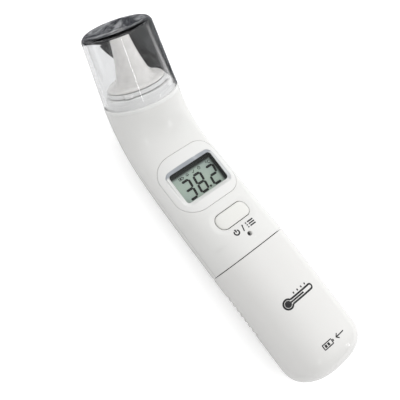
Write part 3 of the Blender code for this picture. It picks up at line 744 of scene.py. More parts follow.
def board_material():
    """Green solder mask over copper tracks, with tinned pads."""
    made, tree, shader = new_material("circuit_board_green")
    place = object_place(tree)
    cells = tree.nodes.new("ShaderNodeTexVoronoi")
    cells.distance = "MANHATTAN"
    cells.feature = "DISTANCE_TO_EDGE"
    cells.inputs["Scale"].default_value = 420.0
    tree.links.new(place, cells.inputs["Vector"])
    track = ramp_node(tree, cells.outputs["Distance"], 0.05, 0.09, 1.0, 0.0)
    tone = use_group(tree, TONE, Colour=(0.02, 0.13, 0.06, 1.0), Shade=(0.015, 0.09, 0.05, 1.0),
                     Roughness=0.3)
    tracked = mix_colour(tree, track, tone.outputs["Colour"], (0.05, 0.27, 0.11, 1.0))
    dots = tree.nodes.new("ShaderNodeTexVoronoi")
    dots.inputs["Scale"].default_value = 330.0
    dots.inputs["Randomness"].default_value = 0.6
    tree.links.new(place, dots.inputs["Vector"])
    pad = ramp_node(tree, dots.outputs["Distance"], 0.12, 0.16, 1.0, 0.0)
    tree.links.new(mix_colour(tree, pad, tracked, (0.62, 0.6, 0.55, 1.0)), shader.inputs["Base Color"])
    tree.links.new(tone.outputs["Roughness"], shader.inputs["Roughness"])
    tree.links.new(pad, shader.inputs["Metallic"])
    add_bump(tree, shader, math_node(tree, "ADD", track, pad), 0.4, 0.03 * MM)
    return made


def make_looks():
    """Every finish of the object, by name."""
    white, shade = (0.79, 0.79, 0.775, 1.0), (0.755, 0.75, 0.735, 1.0)
    return {
        "casing": moulded("gloss_white_casing", white, shade, 0.17, 0.035, drift=0.3, speck=0.04, wave=0.55,
                          strength=0.10, coat=0.15),
        "cover": moulded("gloss_white_cover", (0.785, 0.78, 0.765, 1.0), shade, 0.18, 0.04, drift=0.35,
                         speck=0.05, strength=0.10, coat=0.15),
        "panel": panel_material(),
        "button": moulded("satin_white_button", (0.80, 0.80, 0.77, 1.0), (0.77, 0.765, 0.73, 1.0), 0.3,
                          0.05, drift=0.3, speck=0.1, grain=0.7, wave=0.3, strength=0.15),
        "collar": moulded("white_collar", (0.82, 0.82, 0.81, 1.0), (0.78, 0.78, 0.765, 1.0), 0.2, 0.04),
        "nose": moulded("satin_white_nose", (0.80, 0.79, 0.77, 1.0), (0.76, 0.75, 0.73, 1.0), 0.34, 0.06,
                        speck=0.08),
        "cap": clear_plastic("clear_cap_plastic", (0.985, 0.99, 0.995, 1.0), 0.012, 0.03, 0.06,
                             (0.97, 0.97, 0.975, 1.0)),
        "window": clear_plastic("clear_window_plastic", (0.96, 0.97, 0.965, 1.0), 0.015, 0.02, 0.02,
                                (0.92, 0.93, 0.92, 1.0)),
        "film": film_material(),
        "lcd": lcd_material(),
        "segment": moulded("display_segment_black", (0.004, 0.005, 0.005, 1.0),
                           (0.007, 0.008, 0.008, 1.0), 0.6, wear=0.0, strength=0.03),
        "ink": moulded("printed_ink_black", (0.016, 0.016, 0.018, 1.0), (0.035, 0.035, 0.038, 1.0), 0.42,
                       0.08, drift=0.4, speck=0.3, wear=0.2, worn=(0.12, 0.12, 0.12, 1.0), strength=0.1),
        "grey": moulded("grey_inner_plastic", (0.20, 0.20, 0.205, 1.0), (0.16, 0.16, 0.165, 1.0), 0.48,
                        0.08, speck=0.2, grain=0.8, strength=0.25, worn=(0.34, 0.34, 0.34, 1.0)),
        "black": moulded("black_moulding", (0.018, 0.018, 0.02, 1.0), (0.03, 0.03, 0.032, 1.0), 0.4, 0.08,
                         speck=0.3, grain=0.8, strength=0.3, worn=(0.1, 0.1, 0.1, 1.0)),
        "steel": moulded("plated_steel", (0.60, 0.59, 0.57, 1.0), (0.48, 0.47, 0.45, 1.0), 0.26, 0.08,
                         drift=0.5, speck=0.2, metallic=1.0, worn=(0.75, 0.74, 0.72, 1.0)),
        "gold": moulded("gold_plated_tube", (0.80, 0.60, 0.26, 1.0), (0.68, 0.49, 0.2, 1.0), 0.2, 0.06,
                        metallic=1.0, worn=(0.9, 0.75, 0.45, 1.0)),
        "aluminium": moulded("cast_sensor_block", (0.66, 0.66, 0.67, 1.0), (0.52, 0.52, 0.54, 1.0), 0.38,
                             0.08, speck=0.3, grain=1.0, strength=0.4, metallic=1.0),
        "sleeve": moulded("cell_sleeve", (0.022, 0.04, 0.075, 1.0), (0.03, 0.055, 0.10, 1.0), 0.28, 0.06,
                          speck=0.15, worn=(0.2, 0.22, 0.25, 1.0)),
        "band": moulded("cell_sleeve_band", (0.62, 0.42, 0.12, 1.0), (0.5, 0.33, 0.1, 1.0), 0.3, 0.06,
                        metallic=0.6),
        "board": board_material(),
        "rubber": banded("layered_contact_rubber", (0.02, 0.02, 0.02, 1.0), (0.35, 0.33, 0.3, 1.0), "X",
                         0.18 * MM, 0.0, 0.7),
        "flex": banded("ribbon_lead", (0.55, 0.3, 0.07, 1.0), (0.75, 0.5, 0.2, 1.0), "X", 0.9 * MM, 0.2,
                       0.35),
    }


LOOKS = make_looks()


# Casing

def make_front_shell():
    sheet = new_sheet()
    stops = [56.6 * MM, 63.0 * MM, 78.2 * MM, 106.4 * MM]
    add_rows(sheet, first_rows(stops[0]))
    pinhole = (2 * PINHOLE_RADIUS, 2 * PINHOLE_RADIUS)
    rim = ((-0.02, 0.6), (0.03, 0.25), (0.12, 0.08), (0.3, 0.02), (0.5, 0.0))
    add_opening(sheet, stops[0], stops[1], 10, pinhole, PINHOLE_RADIUS, PINHOLE_AT, rim)
    button = [side + 2 * BUTTON_GAP for side in MODE_BUTTON_SIZE]
    dish = ((0.0, 0.95), (0.03, 0.72), (0.12, 0.58), (0.3, 0.5), (0.8, 0.38), (1.3, 0.24), (1.8, 0.1),
            (2.2, 0.02), (2.5, 0.0))
    add_opening(sheet, stops[1], stops[2], 22, button, MODE_BUTTON_CORNER + BUTTON_GAP, MODE_BUTTON_AT,
                dish)
    panel = [side + 2 * PANEL_GAP for side in PANEL_SIZE]
    add_opening(sheet, stops[2], stops[3], 40, panel, PANEL_CORNER + PANEL_GAP, PANEL_CENTRE, LIP)
    add_rows(sheet, last_rows(stops[3]))
    mesh = bmesh.new()
    sheet_solid(mesh, sheet, 1, SHELL_WALL)
    piece = finish_mesh("front_casing", mesh, "casing", LOOKS["casing"])
    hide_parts("front_shell")


def make_rear_shell():
    sheet = new_sheet()
    stops = [94.0 * MM, 112.0 * MM]
    add_rows(sheet, first_rows(57 * MM) + plain_rows(57 * MM, stops[0], 1.6 * MM)[1:])
    button = [side + 2 * BUTTON_GAP for side in START_BUTTON_SIZE]
    add_opening(sheet, stops[0], stops[1], 30, button, button[1] / 2 - 0.01 * MM, START_BUTTON_AT, LIP)
    add_rows(sheet, last_rows(stops[1]))
    mesh = bmesh.new()
    sheet_solid(mesh, sheet, -1, SHELL_WALL)
    for node, seat in (("tray_screw_left", 5.5), ("tray_screw_right", 5.5), ("board_screw_left", 12.6),
                       ("board_screw_right", 12.6)):
        low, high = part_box(node)
        add_tube(mesh, (low + high) / 2, 2.6 * MM, 1.2 * MM, 1.9 * MM, seat * MM)
    piece = finish_mesh("rear_casing", mesh, "casing", LOOKS["casing"])
    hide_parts("rear_shell")


def circle(middle, radius, height, steps):
    """Level ring of points about an upright axis."""
    turns = [2 * pi * k / steps for k in range(steps)]
    return [Vector((middle.x + radius * cos(t), middle.y + radius * sin(t), height)) for t in turns]


def add_tube(mesh, middle, radius, bore, bottom, top, steps=32):
    """Upright tube, closed at neither end, as one closed wall."""
    edge = 0.3 * MM
    profile = ((radius, bottom), (radius, top - edge), (radius - edge, top), (bore, top), (bore, bottom))
    join_rings(mesh, [circle(middle, reach, height, steps) for reach, height in profile], closed=True)


GRIP = (27.0 * MM, 47.0 * MM)
GRIP_PITCH = 2.5 * MM
GRIP_DEPTH = 0.45 * MM


def grip_depth(u, turn):
    """Depth of the grip's cross grooves, on the rear flanks of the cover."""
    if not GRIP[0] <= u <= GRIP[1]:
        return 0.0
    phase = ((u - GRIP[0]) / GRIP_PITCH) % 1.0
    groove = max(0.0, 1 - abs(phase - 0.5) / 0.32)
    flank = abs(abs(turn) - pi / 2) if turn < 0 else 0.0
    share = max(0.0, min((flank - 0.62) / 0.12, (1.50 - flank) / 0.06, 1.0))
    return GRIP_DEPTH * share * groove ** 0.5


def cover_ring_points(u, inset, steps=120):
    turns = [-pi + 2 * pi * k / steps for k in range(steps)]
    return [section_point(u, turn, inset + (grip_depth(u, turn) if inset == 0 else 0.0)) for turn in turns]


def dome_stations(inset):
    reach = END_DOME - inset
    turns = [radians(a) for a in (3, 7, 11, 16, 21, 27, 33, 39, 45, 51, 57, 63, 69, 75, 80, 85, 90)]
    return [inset + reach * (1 - cos(a) ** (2 / END_SQUARENESS)) for a in turns]


def make_battery_cover():
    """Cup over the battery bay, with a rounded mouth at the seam and cross grooves for the fingers."""
    outer = dome_stations(0.0)
    outer += stations_between(14 * MM, GRIP[0], 1.3 * MM)
    outer += stations_between(GRIP[0], GRIP[1], 0.25 * MM)[1:]
    outer += stations_between(GRIP[1], SEAM - 0.25 * MM, 1.2 * MM)[1:]
    rings = [cover_ring_points(u, 0) for u in outer]
    rings += [cover_ring_points(SEAM - 0.07 * MM, 0.04 * MM), cover_ring_points(SEAM, 0.16 * MM)]
    inner = dome_stations(COVER_WALL) + [20 * MM, 30 * MM, 40 * MM, 50 * MM, SEAM]
    rings += [cover_ring_points(u, COVER_WALL) for u in reversed(inner)]
    mesh = bmesh.new()
    made = join_rings(mesh, rings)
    mesh.faces.new(made[0])
    mesh.faces.new(made[-1])
    piece = finish_mesh("battery_cover_cup", mesh, "cover", LOOKS["cover"])
    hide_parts("battery_cover")


# Display

def make_panel():
    """Panel round the display: flush with the casing, with a bevelled opening down to the window."""
    across, rise = 56, 40

    def outline(offset):
        return offset_ring(PANEL_SIZE, PANEL_CORNER, PANEL_CENTRE, offset * MM, across, rise)

    def opening(offset):
        return offset_ring(WINDOW_OPENING, WINDOW_CORNER, DISPLAY_CENTRE, offset * MM, across, rise)

    def on_surface(points, drop=0.0):
        return [surface_point(x, u, 1, drop * MM) for x, u in points]

    def at_height(points, z):
        return [Vector((x, u - MIDDLE_Y, z)) for x, u in points]

    rings = [on_surface(outline(0), 2.0)]
    rings += [on_surface(outline(-offset), drop) for offset, drop in LIP]
    near, far = outline(-0.4), opening(1.75)
    rings += [on_surface(mixed(near, far, share)) for share in (0.0, 0.2, 0.4, 0.6, 0.8, 0.93, 1.0)]
    rings += [on_surface(opening(1.62), 0.03), on_surface(opening(1.5), 0.12),
              on_surface(opening(1.35), 0.3)]
    rings += [at_height(opening(0.12), WINDOW_TOP + 0.35 * MM),
              at_height(opening(0.0), WINDOW_TOP + 0.2 * MM)]
    rings += [at_height(opening(0.0), WINDOW_TOP + 0.03 * MM),
              at_height(opening(1.0), WINDOW_TOP + 0.03 * MM)]
    rings += [at_height(opening(1.0), PANEL_BOTTOM)]
    mesh = bmesh.new()
    join_rings(mesh, rings, closed=True)
    piece = finish_mesh("display_surround", mesh, "casing", LOOKS["panel"], sharp=50)
    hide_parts("display_panel")


def flat_plate(mesh, size, corner, bottom, top, middle_u, across=12, rise=8, edge=0.08 * MM):
    """Closed round-cornered plate with a small bevel along its upper and lower edges."""
    def level(offset, z):
        ring = offset_ring(size, corner, middle_u, offset, across, rise)
        return [Vector((x, u - MIDDLE_Y, z)) for x, u in ring]

    rings = [level(-edge, bottom), level(0, bottom + edge), level(0, top - edge), level(-edge, top)]
    made = join_rings(mesh, rings)
    fill_ring(mesh, made[0], across, rise)
    fill_ring(mesh, made[-1], across, rise)


def make_display():
    """Two bonded glass plates with a contact ledge, and the dark figures under the upper one."""
    mesh = bmesh.new()
    split = LCD_BOTTOM + 0.8 * MM
    flat_plate(mesh, LCD_SIZE, 0.3 * MM, LCD_BOTTOM, split, DISPLAY_CENTRE)
    upper = (LCD_SIZE[0], LCD_SIZE[1] - 0.6 * MM)
    flat_plate(mesh, upper, 0.3 * MM, split, LCD_TOP - 0.05 * MM, DISPLAY_CENTRE)
    piece = finish_mesh("display_cell", mesh, "casing", LOOKS["lcd"])
    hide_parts("lcd_glass")
    figures = bmesh.new()
    for left, digit in ((-8.35, "3"), (-2.45, "8"), (4.25, "2")):
        add_digit(figures, left, digit)
    add_display_bar(figures, (2.45, -5.3), (3.35, -5.3), 0.9)
    add_display_signs(figures)
    figures = finish_mesh("display_figures", figures, "casing", LOOKS["segment"])


DIGIT_WIDTH = 4.5
DIGIT_HEIGHT = 7.7
DIGIT_BASE = -5.75
DIGIT_LEAN = 0.135
SEGMENT_WIDTH = 1.02
SEGMENTS = {
    "top": ((0, 2), (1, 2)), "upper_left": ((0, 1), (0, 2)), "upper_right": ((1, 1), (1, 2)),
    "middle": ((0, 1), (1, 1)), "lower_left": ((0, 0), (0, 1)), "lower_right": ((1, 0), (1, 1)),
    "bottom": ((0, 0), (1, 0))
}
DARK_SEGMENTS = {
    "3": ("top", "upper_right", "middle", "lower_right", "bottom"),
    "8": tuple(SEGMENTS),
    "2": ("top", "upper_right", "middle", "lower_left", "bottom"),
}


def add_digit(mesh, left, digit):
    """One leaning seven-segment figure."""
    for name in DARK_SEGMENTS[digit]:
        ends = []
        for column, row in SEGMENTS[name]:
            y = DIGIT_BASE + row * DIGIT_HEIGHT / 2
            lean = (y - DIGIT_BASE) * DIGIT_LEAN
            x = left + column * (DIGIT_WIDTH - SEGMENT_WIDTH) + SEGMENT_WIDTH / 2 + lean
            ends.append(Vector((x, y)))
        along = (ends[1] - ends[0]).normalized() * 0.12
        add_display_bar(mesh, ends[0] + along, ends[1] - along, SEGMENT_WIDTH, pointed=0.38)


def add_display_bar(mesh, start, end, width, pointed=0.0):
    """Thin dark bar on the display, in mm from its centre, with its ends drawn to points."""
    a, b = Vector(start), Vector(end)
    along = (b - a).normalized()
    across = Vector((-along.y, along.x)) * width / 2
    back = along * width * pointed
    corners = [a, a + back - across, b - back - across, b, b - back + across, a + back + across]
    if not pointed:
        corners = [a - across, b - across, b + across, a + across]
    add_display_shape(mesh, corners)


def add_display_shape(mesh, corners):
    for height in (0.0, 0.03):
        z = LCD_TOP - 0.05 * MM + height * MM
        level = [mesh.verts.new((p.x * MM, DISPLAY_CENTRE - MIDDLE_Y + p.y * MM, z)) for p in corners]
        mesh.faces.new(level)
        if height:
            for k in range(len(level)):
                mesh.faces.new((below[k - 1], below[k], level[k], level[k - 1]))
        below = level


def add_display_ring(mesh, middle, radius, width, start=0, end=360, steps=18):
    """Arc of thin bars round a point of the display."""
    turns = [radians(start + (end - start) * k / steps) for k in range(steps + 1)]
    points = [Vector(middle) + Vector((cos(t), sin(t))) * radius for t in turns]
    for a, b in zip(points, points[1:]):
        add_display_bar(mesh, a, b + (b - a) * 0.05, width)


def add_display_signs(mesh):
    """Row of small signs over the figures: a cell, a bell, a tick, and the sign for degrees."""
    top = 3.6
    add_display_bar(mesh, (-6.9, top + 0.45), (-4.9, top + 0.45), 0.22)
    add_display_bar(mesh, (-6.9, top - 0.45), (-4.9, top - 0.45), 0.22)
    add_display_bar(mesh, (-6.8, top - 0.5), (-6.8, top + 0.5), 0.22)
    add_display_bar(mesh, (-4.95, top - 0.5), (-4.95, top + 0.5), 0.22)
    add_display_bar(mesh, (-4.8, top), (-4.45, top), 0.4)
    add_display_bar(mesh, (-6.4, top), (-5.6, top), 0.5)
    add_display_ring(mesh, (-2.6, top), 0.55, 0.22, 0, 180)
    add_display_bar(mesh, (-3.35, top - 0.1), (-1.85, top - 0.1), 0.22)
    add_display_bar(mesh, (-2.8, top - 0.42), (-2.4, top - 0.42), 0.25)
    add_display_bar(mesh, (-0.2, top - 0.1), (0.3, top - 0.5), 0.24)
    add_display_bar(mesh, (0.3, top - 0.5), (1.1, top + 0.5), 0.24)
    add_display_ring(mesh, (3.4, top), 0.6, 0.22)
    add_display_bar(mesh, (3.4, top), (3.4, top + 0.4), 0.2)
    add_display_bar(mesh, (3.4, top), (3.75, top), 0.2)
    add_display_ring(mesh, (7.5, top + 0.35), 0.28, 0.16)
    add_display_ring(mesh, (8.75, top - 0.1), 0.62, 0.24, 50, 310)


# Buttons

def make_mode_button():
    """Oblong front button with a rounded edge, set in its dish."""
    across, rise = 40, 16

    def outline(offset):
        return offset_ring(MODE_BUTTON_SIZE, MODE_BUTTON_CORNER, MODE_BUTTON_AT, offset * MM, across, rise)

    def ring(offset, drop):
        return [surface_point(x, u, 1, drop * MM) for x, u in outline(offset)]

    profile = ((0.0, 0.85), (-0.05, 0.58), (-0.16, 0.44), (-0.36, 0.36), (-0.9, 0.3), (-1.6, 0.27),
               (-2.2, 0.26), (-2.75, 0.26))
    lower = [Vector((x, u - MIDDLE_Y, MODE_BUTTON_BOTTOM)) for x, u in outline(0.0)]
    mesh = bmesh.new()
    made = join_rings(mesh, [lower] + [ring(*pair) for pair in profile])
    fill_ring(mesh, made[0], across, rise)
    fill_ring(mesh, made[-1], across, rise)
    piece = finish_mesh("front_button_key", mesh, "front_button", LOOKS["button"])
    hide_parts("mode_button")


def make_start_button():
    """Oblong button on the back, hollowed a little for the fingertip, with its stem."""
    across, rise = 40, 24
    corner = START_BUTTON_SIZE[1] / 2 - 0.01 * MM

    def ring(offset, drop):
        points = offset_ring(START_BUTTON_SIZE, corner, START_BUTTON_AT, offset * MM, across, rise)
        return [surface_point(x, u, -1, drop * MM) for x, u in points]

    profile = ((0.0, 0.5), (-0.05, 0.2), (-0.16, 0.06), (-0.4, 0.0), (-1.0, 0.05), (-2.0, 0.22),
               (-3.2, 0.38), (-4.6, 0.45))
    upper = [
        Vector((x, u - MIDDLE_Y, START_BUTTON_TOP))
        for x, u in offset_ring(START_BUTTON_SIZE, corner, START_BUTTON_AT, 0.0, across, rise)
    ]
    mesh = bmesh.new()
    made = join_rings(mesh, [upper] + [ring(*pair) for pair in profile])
    fill_ring(mesh, made[0], across, rise)
    fill_ring(mesh, made[-1], across, rise)
    stem = Vector((0, START_BUTTON_AT - MIDDLE_Y, 0))
    add_post(mesh, stem, 2.2 * MM, START_BUTTON_TOP - 0.2 * MM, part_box("start_button")[1].z)
    piece = finish_mesh("back_button_key", mesh, "back_button", LOOKS["button"])
    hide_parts("start_button")


def add_post(mesh, middle, radius, bottom, top, steps=32):
    """Upright closed post with a bevelled top."""
    edge = 0.2 * MM
    profile = ((radius, bottom), (radius, top - edge), (radius - edge, top))
    made = join_rings(mesh, [circle(middle, reach, height, steps) for reach, height in profile])
    mesh.faces.new(made[0])
    mesh.faces.new(made[-1])


# Printed signs, drawn as strokes in mm from their middle: x to the right and y towards the probe

def arc(middle, radius, start, end, steps=16):
    turns = [radians(start + (end - start) * k / steps) for k in range(steps + 1)]
    return [(middle[0] + radius * cos(t), middle[1] + radius * sin(t)) for t in turns]


def add_stroke(mesh, points, width, middle_u, lift=0.03 * MM):
    """Thin raised line of ink that follows the surface."""
    path = [Vector(points[0])]
    for a, b in zip(points, points[1:]):
        a, b = Vector(a), Vector(b)
        steps = max(1, round((b - a).length / 0.5))
        path += [a + (b - a) * k / steps for k in range(1, steps + 1)]
    rows = []
    for k, point in enumerate(path):
        along = (path[min(k + 1, len(path) - 1)] - path[max(k - 1, 0)]).normalized()
        across = Vector((-along.y, along.x)) * width / 2
        row = []
        for place, drop in ((point - across, -lift), (point + across, -lift), (point + across, lift),
                            (point - across, lift)):
            row.append(surface_point(place.x * MM, middle_u + place.y * MM, 1, drop))
        rows.append(row)
    made = join_rings(mesh, rows)
    mesh.faces.new(made[0])
    mesh.faces.new(made[-1])


def make_signs():
    """Signs for on and memory under the button, and a thermometer and a cell on the battery cover."""
    mesh = bmesh.new()
    at = 64.15 * MM
    add_stroke(mesh, arc((-3.9, 0.0), 1.0, 130, 410, 26), 0.55, at)
    add_stroke(mesh, [(-3.9, 0.1), (-3.9, 1.35)], 0.55, at)
    add_stroke(mesh, [(-1.15, -1.25), (-0.25, 1.3)], 0.45, at)
    for row in (-0.95, 0.0, 0.95):
        add_stroke(mesh, [(1.2, row), (1.75, row)], 0.52, at)
        add_stroke(mesh, [(2.35, row), (5.2, row)], 0.52, at)
    piece = finish_mesh("sign_on_and_memory", mesh, "casing", LOOKS["ink"])
    mesh = bmesh.new()
    at = 31.6 * MM
    for radius in (0.35, 0.95):
        add_stroke(mesh, arc((-5.9, 0.0), radius, 0, 360, 26), 0.75, at)
    add_stroke(mesh, [(-4.3, 0.95), (5.6, 0.95)] + arc((5.6, 0.0), 0.95, 90, -90, 12)
               + [(5.6, -0.95), (-4.3, -0.95)],
               0.68, at)
    add_stroke(mesh, [(-4.7, 0.0), (1.9, 0.0)], 0.62, at)
    add_stroke(mesh, arc((-5.9, 0.0), 1.85, 31, 329, 26), 0.68, at)
    for x in (-1.6, 0.4, 2.4, 4.4):
        add_stroke(mesh, [(x, 1.75), (x, 2.5)], 0.55, at)
    piece = finish_mesh("sign_thermometer", mesh, "cover", LOOKS["ink"])
    mesh = bmesh.new()
    at = 11.6 * MM
    add_stroke(mesh, [(-5.4, 0.95), (-1.2, 0.95), (-1.2, -0.95), (-5.4, -0.95), (-5.4, 0.95),
                      (-5.2, 0.95)], 0.38, at)
    add_stroke(mesh, [(-0.9, 0.0), (-0.4, 0.0)], 0.8, at)
    add_stroke(mesh, [(-4.75, 0.0), (-3.85, 0.0)], 1.05, at)
    add_stroke(mesh, [(-3.4, 0.0), (-2.5, 0.0)], 1.05, at)
    add_stroke(mesh, [(1.0, 0.0), (5.2, 0.0)], 0.4, at)
    add_stroke(mesh, [(2.1, 1.0), (1.0, 0.0), (2.1, -1.0)], 0.4, at)
    piece = finish_mesh("sign_cell_and_arrow", mesh, "cover", LOOKS["ink"])


# Probe and cap

def nose_radius(height):
    return smooth_value(NOSE_OUTLINE, height)


def make_collar():
    inside = 10.9 * MM
    skirt = RING_RADIUS - SHELL_WALL - 1.0 * MM
    corners = [
        (inside, -0.4 * MM), (skirt - 0.8 * MM, -0.4 * MM), (skirt - 0.8 * MM, -1.6 * MM),
        (skirt, -1.6 * MM),
        (skirt, -0.05 * MM), (RING_RADIUS - 0.06 * MM, -0.05 * MM), (RING_RADIUS, 0.01 * MM),
        (RING_RADIUS, 1.25 * MM), (CAP_BOSS_RADIUS + 0.2 * MM, 1.25 * MM),
        (CAP_BOSS_RADIUS, 1.6 * MM), (CAP_BOSS_RADIUS, 3.0 * MM), (CAP_BOSS_RADIUS - 0.12 * MM, 3.2 * MM),
        (CAP_BOSS_RADIUS - 0.12 * MM, 3.6 * MM), (CAP_BOSS_RADIUS, 3.8 * MM),
        (CAP_BOSS_RADIUS, CAP_BOSS_TOP), (inside, CAP_BOSS_TOP), (inside, 0.0)
    ]
    piece = turned("probe_collar", rounded_corners(corners, 0.35 * MM), "casing", LOOKS["collar"])
    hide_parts("collar")


def make_nose():
    window_seat = NOSE_TIP - 0.8 * MM
    corners = [(NOSE_BORE, 0.0), (NOSE_BORE, -1.6 * MM), (11.7 * MM, -1.6 * MM), (11.7 * MM, -0.7 * MM)]
    corners += [(10.6 * MM, -0.7 * MM), (10.6 * MM, 5.3 * MM)]
    heights = (5.8, 6.5, 7.3, 8.2, 9.2, 10.4, 11.8, 13.4, 15, 17, 19, 21, 23)
    corners += [(nose_radius(height * MM), height * MM) for height in heights]
    corners += [(3.25 * MM, 25.1 * MM), (3.12 * MM, 25.5 * MM), (NOSE_TIP_RADIUS, NOSE_TIP)]
    corners += [(NOSE_RECESS_RADIUS, NOSE_TIP), (NOSE_RECESS_RADIUS, window_seat), (NOSE_BORE, window_seat)]
    corners += [(NOSE_BORE, 12 * MM)]
    piece = turned("probe_cone", rounded_corners(corners, 0.15 * MM, 2), "casing", LOOKS["nose"])
    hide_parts("probe_nose")


def make_film():
    """Disposable film cone with a flat rim and a few drawn rings near its foot."""
    heights = [7.15 + 0.35 * k for k in range(51)]
    top = NOSE_TIP + 0.3 * MM
    outline = [(0, top + COVER_FILM), (3.35 * MM, top + COVER_FILM), (3.85 * MM, 25.75 * MM)]
    for h in reversed(heights[2:]):
        ripple = 0.05 * MM * sin((h - 7.3) * 2 * pi / 0.9) if h < 10.5 else 0.0
        outline.append((nose_radius(h * MM) + 0.3 * MM + COVER_FILM + ripple, h * MM))
    outline += [(9.3 * MM, 7.75 * MM), (11.5 * MM, 7.75 * MM), (11.8 * MM, 7.5 * MM),
                (11.8 * MM, 7.15 * MM)]
    outline += [(nose_radius(h * MM) + 0.3 * MM, h * MM) for h in heights]
    outline += [(3.5 * MM, 25.6 * MM), (3.15 * MM, top), (0, top)]
    piece = turned("probe_film", outline, "casing", LOOKS["film"], sharp=60)
    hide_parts("probe_cover")


def make_snap_ring():
    """Ring that holds the film, with four rounded lugs round its foot."""
    bottom = CAP_BOSS_TOP + 0.3 * MM
    steps = 192
    rings = []
    profile = ((11.0, 0.0, 0), (12.2, 0.0, 0), (12.4, 0.15, 1), (12.4, 0.95, 1), (12.4, 1.15, 0),
               (12.4, 1.35, 0), (12.2, 1.5, 0), (11.2, 1.5, 0), (11.0, 1.35, 0))
    for radius, height, lugged in profile:
        ring = []
        for k in range(steps):
            turn = 2 * pi * k / steps
            off = abs((turn / (pi / 2)) % 1.0 - 0.5)
            lug = max(0.0, min(1.0, (0.09 - off) / 0.02)) * lugged
            reach = (radius + 0.85 * lug) * MM
            ring.append(PROBE_PLACE @ Vector((reach * cos(turn), reach * sin(turn), bottom + height * MM)))
        rings.append(ring)
    mesh = bmesh.new()
    join_rings(mesh, rings, closed=True)
    piece = finish_mesh("film_snap_ring", mesh, "casing", LOOKS["collar"])
    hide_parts("cover_ring")


def make_cap():
    """Clear cup with a rounded top edge, flat across its top, and a chamfered foot."""
    def wall_radius(height):
        taper = (CAP_TOP_RADIUS - CAP_BASE_RADIUS) * (height - CAP_BASE)
        return CAP_BASE_RADIUS + taper / (CAP_TOP - CAP_BASE)

    def wall(inset, start, end, steps):
        heights = [start + (end - start) * k / steps for k in range(steps + 1)]
        return [(wall_radius(h) - inset, h) for h in heights]

    def edge(inset):
        radius = CAP_EDGE - inset
        middle = CAP_TOP - CAP_EDGE
        turns = [pi / 2 * k / 10 for k in range(11)]
        return [(wall_radius(middle) - inset - radius * (1 - cos(a)), middle + radius * sin(a))
                for a in turns]

    foot = CAP_BASE + 0.25 * MM
    outer = [(CAP_BASE_RADIUS - 0.25 * MM, CAP_BASE)]
    outer += wall(0.0, foot, CAP_TOP - CAP_EDGE - 1 * MM, 12) + edge(0.0)
    outer += [(8 * MM, CAP_TOP), (0, CAP_TOP)]
    inner = [(CAP_BASE_RADIUS - CAP_WALL + 0.1 * MM, CAP_BASE)]
    inner += wall(CAP_WALL, foot, CAP_TOP - CAP_EDGE - 1 * MM, 12) + edge(CAP_WALL)
    inner += [(8 * MM, CAP_TOP - CAP_WALL), (0, CAP_TOP - CAP_WALL)]
    piece = turned("probe_cap", list(reversed(outer)) + inner, "cap", LOOKS["cap"], steps=160, sharp=50)
    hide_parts("clear_cap")


# Cells

def make_cells():
    """Two round cells in printed sleeves, each with its rolled-over rims and raised terminal."""
    for side, name in ((-1, "left"), (1, "right")):
        low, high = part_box("cell_" + name)
        radius = (high.x - low.x) / 2
        length = high.y - low.y
        start = low.y if side > 0 else high.y
        turn = Matrix.Rotation(-side * pi / 2, 4, "X")
        place = Matrix.Translation(((low.x + high.x) / 2, start, (low.z + high.z) / 2)) @ turn
        end = length - 1.0 * MM
        sleeve = [(0, 0.35 * MM), (radius - 1.2 * MM, 0.35 * MM), (radius - 0.9 * MM, 0.02 * MM),
                  (radius - 0.3 * MM, 0.0), (radius, 0.35 * MM), (radius, end - 0.35 * MM),
                  (radius - 0.3 * MM, end),
                  (radius - 1.1 * MM, end - 0.02 * MM), (radius - 1.3 * MM, end - 0.3 * MM),
                  (0, end - 0.3 * MM)]
        piece = turned(f"cell_{name}_sleeve", rounded_corners(sleeve, 0.15 * MM, 3), "casing",
                       LOOKS["sleeve"], 64, place)
        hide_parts("cell_" + name)
        tip = [(0, length), (1.6 * MM, length), (1.95 * MM, length - 0.3 * MM), (1.95 * MM, end - 0.1 * MM),
               (radius - 1.3 * MM, end - 0.15 * MM), (radius - 1.3 * MM, end - 0.3 * MM),
               (0, end - 0.3 * MM)]
        turned(f"cell_{name}_terminal", rounded_corners(tip, 0.12 * MM, 3), "casing",
                       LOOKS["steel"], 48, place)
        band = [(radius - 0.1 * MM, 7 * MM), (radius + 0.02 * MM, 7 * MM), (radius + 0.02 * MM, 13 * MM),
                (radius - 0.1 * MM, 13 * MM), (radius - 0.1 * MM, 12 * MM)]
        turned(f"cell_{name}_band", band, "casing", LOOKS["band"], 64, place)


# CAD nodes that keep their shape

NODE_LOOKS = {
    "display_window": "window", "lcd_frame": "grey", "contact_strip_upper": "rubber",
    "contact_strip_lower": "rubber",
    "circuit_board": "board", "processor_chip": "black", "memory_chip": "black", "buzzer": "black",
    "mode_switch": "steel", "start_switch": "steel", "battery_tray": "grey", "contact_spring_left": "steel",
    "contact_spring_right": "steel", "contact_bridge": "steel", "contact_negative": "steel",
    "contact_positive": "steel", "tray_screw_left": "steel", "tray_screw_right": "steel",
    "board_screw_left": "steel", "board_screw_right": "steel", "waveguide": "gold",
    "sensor_window": "window",
    "sensor_can": "steel", "sensor_block": "aluminium", "sensor_lead": "flex", "cover_latch": "grey",
}
SOFTENED = {
    "lcd_frame": 0.2, "circuit_board": 0.1, "processor_chip": 0.15, "memory_chip": 0.15, "buzzer": 0.3,
    "mode_switch": 0.15, "start_switch": 0.15, "battery_tray": 0.25, "contact_bridge": 0.1,
    "contact_negative": 0.1, "contact_positive": 0.1, "sensor_can": 0.2, "sensor_block": 0.3,
    "cover_latch": 0.2,
    "tray_screw_left": 0.15, "tray_screw_right": 0.15, "board_screw_left": 0.15, "board_screw_right": 0.15,
}


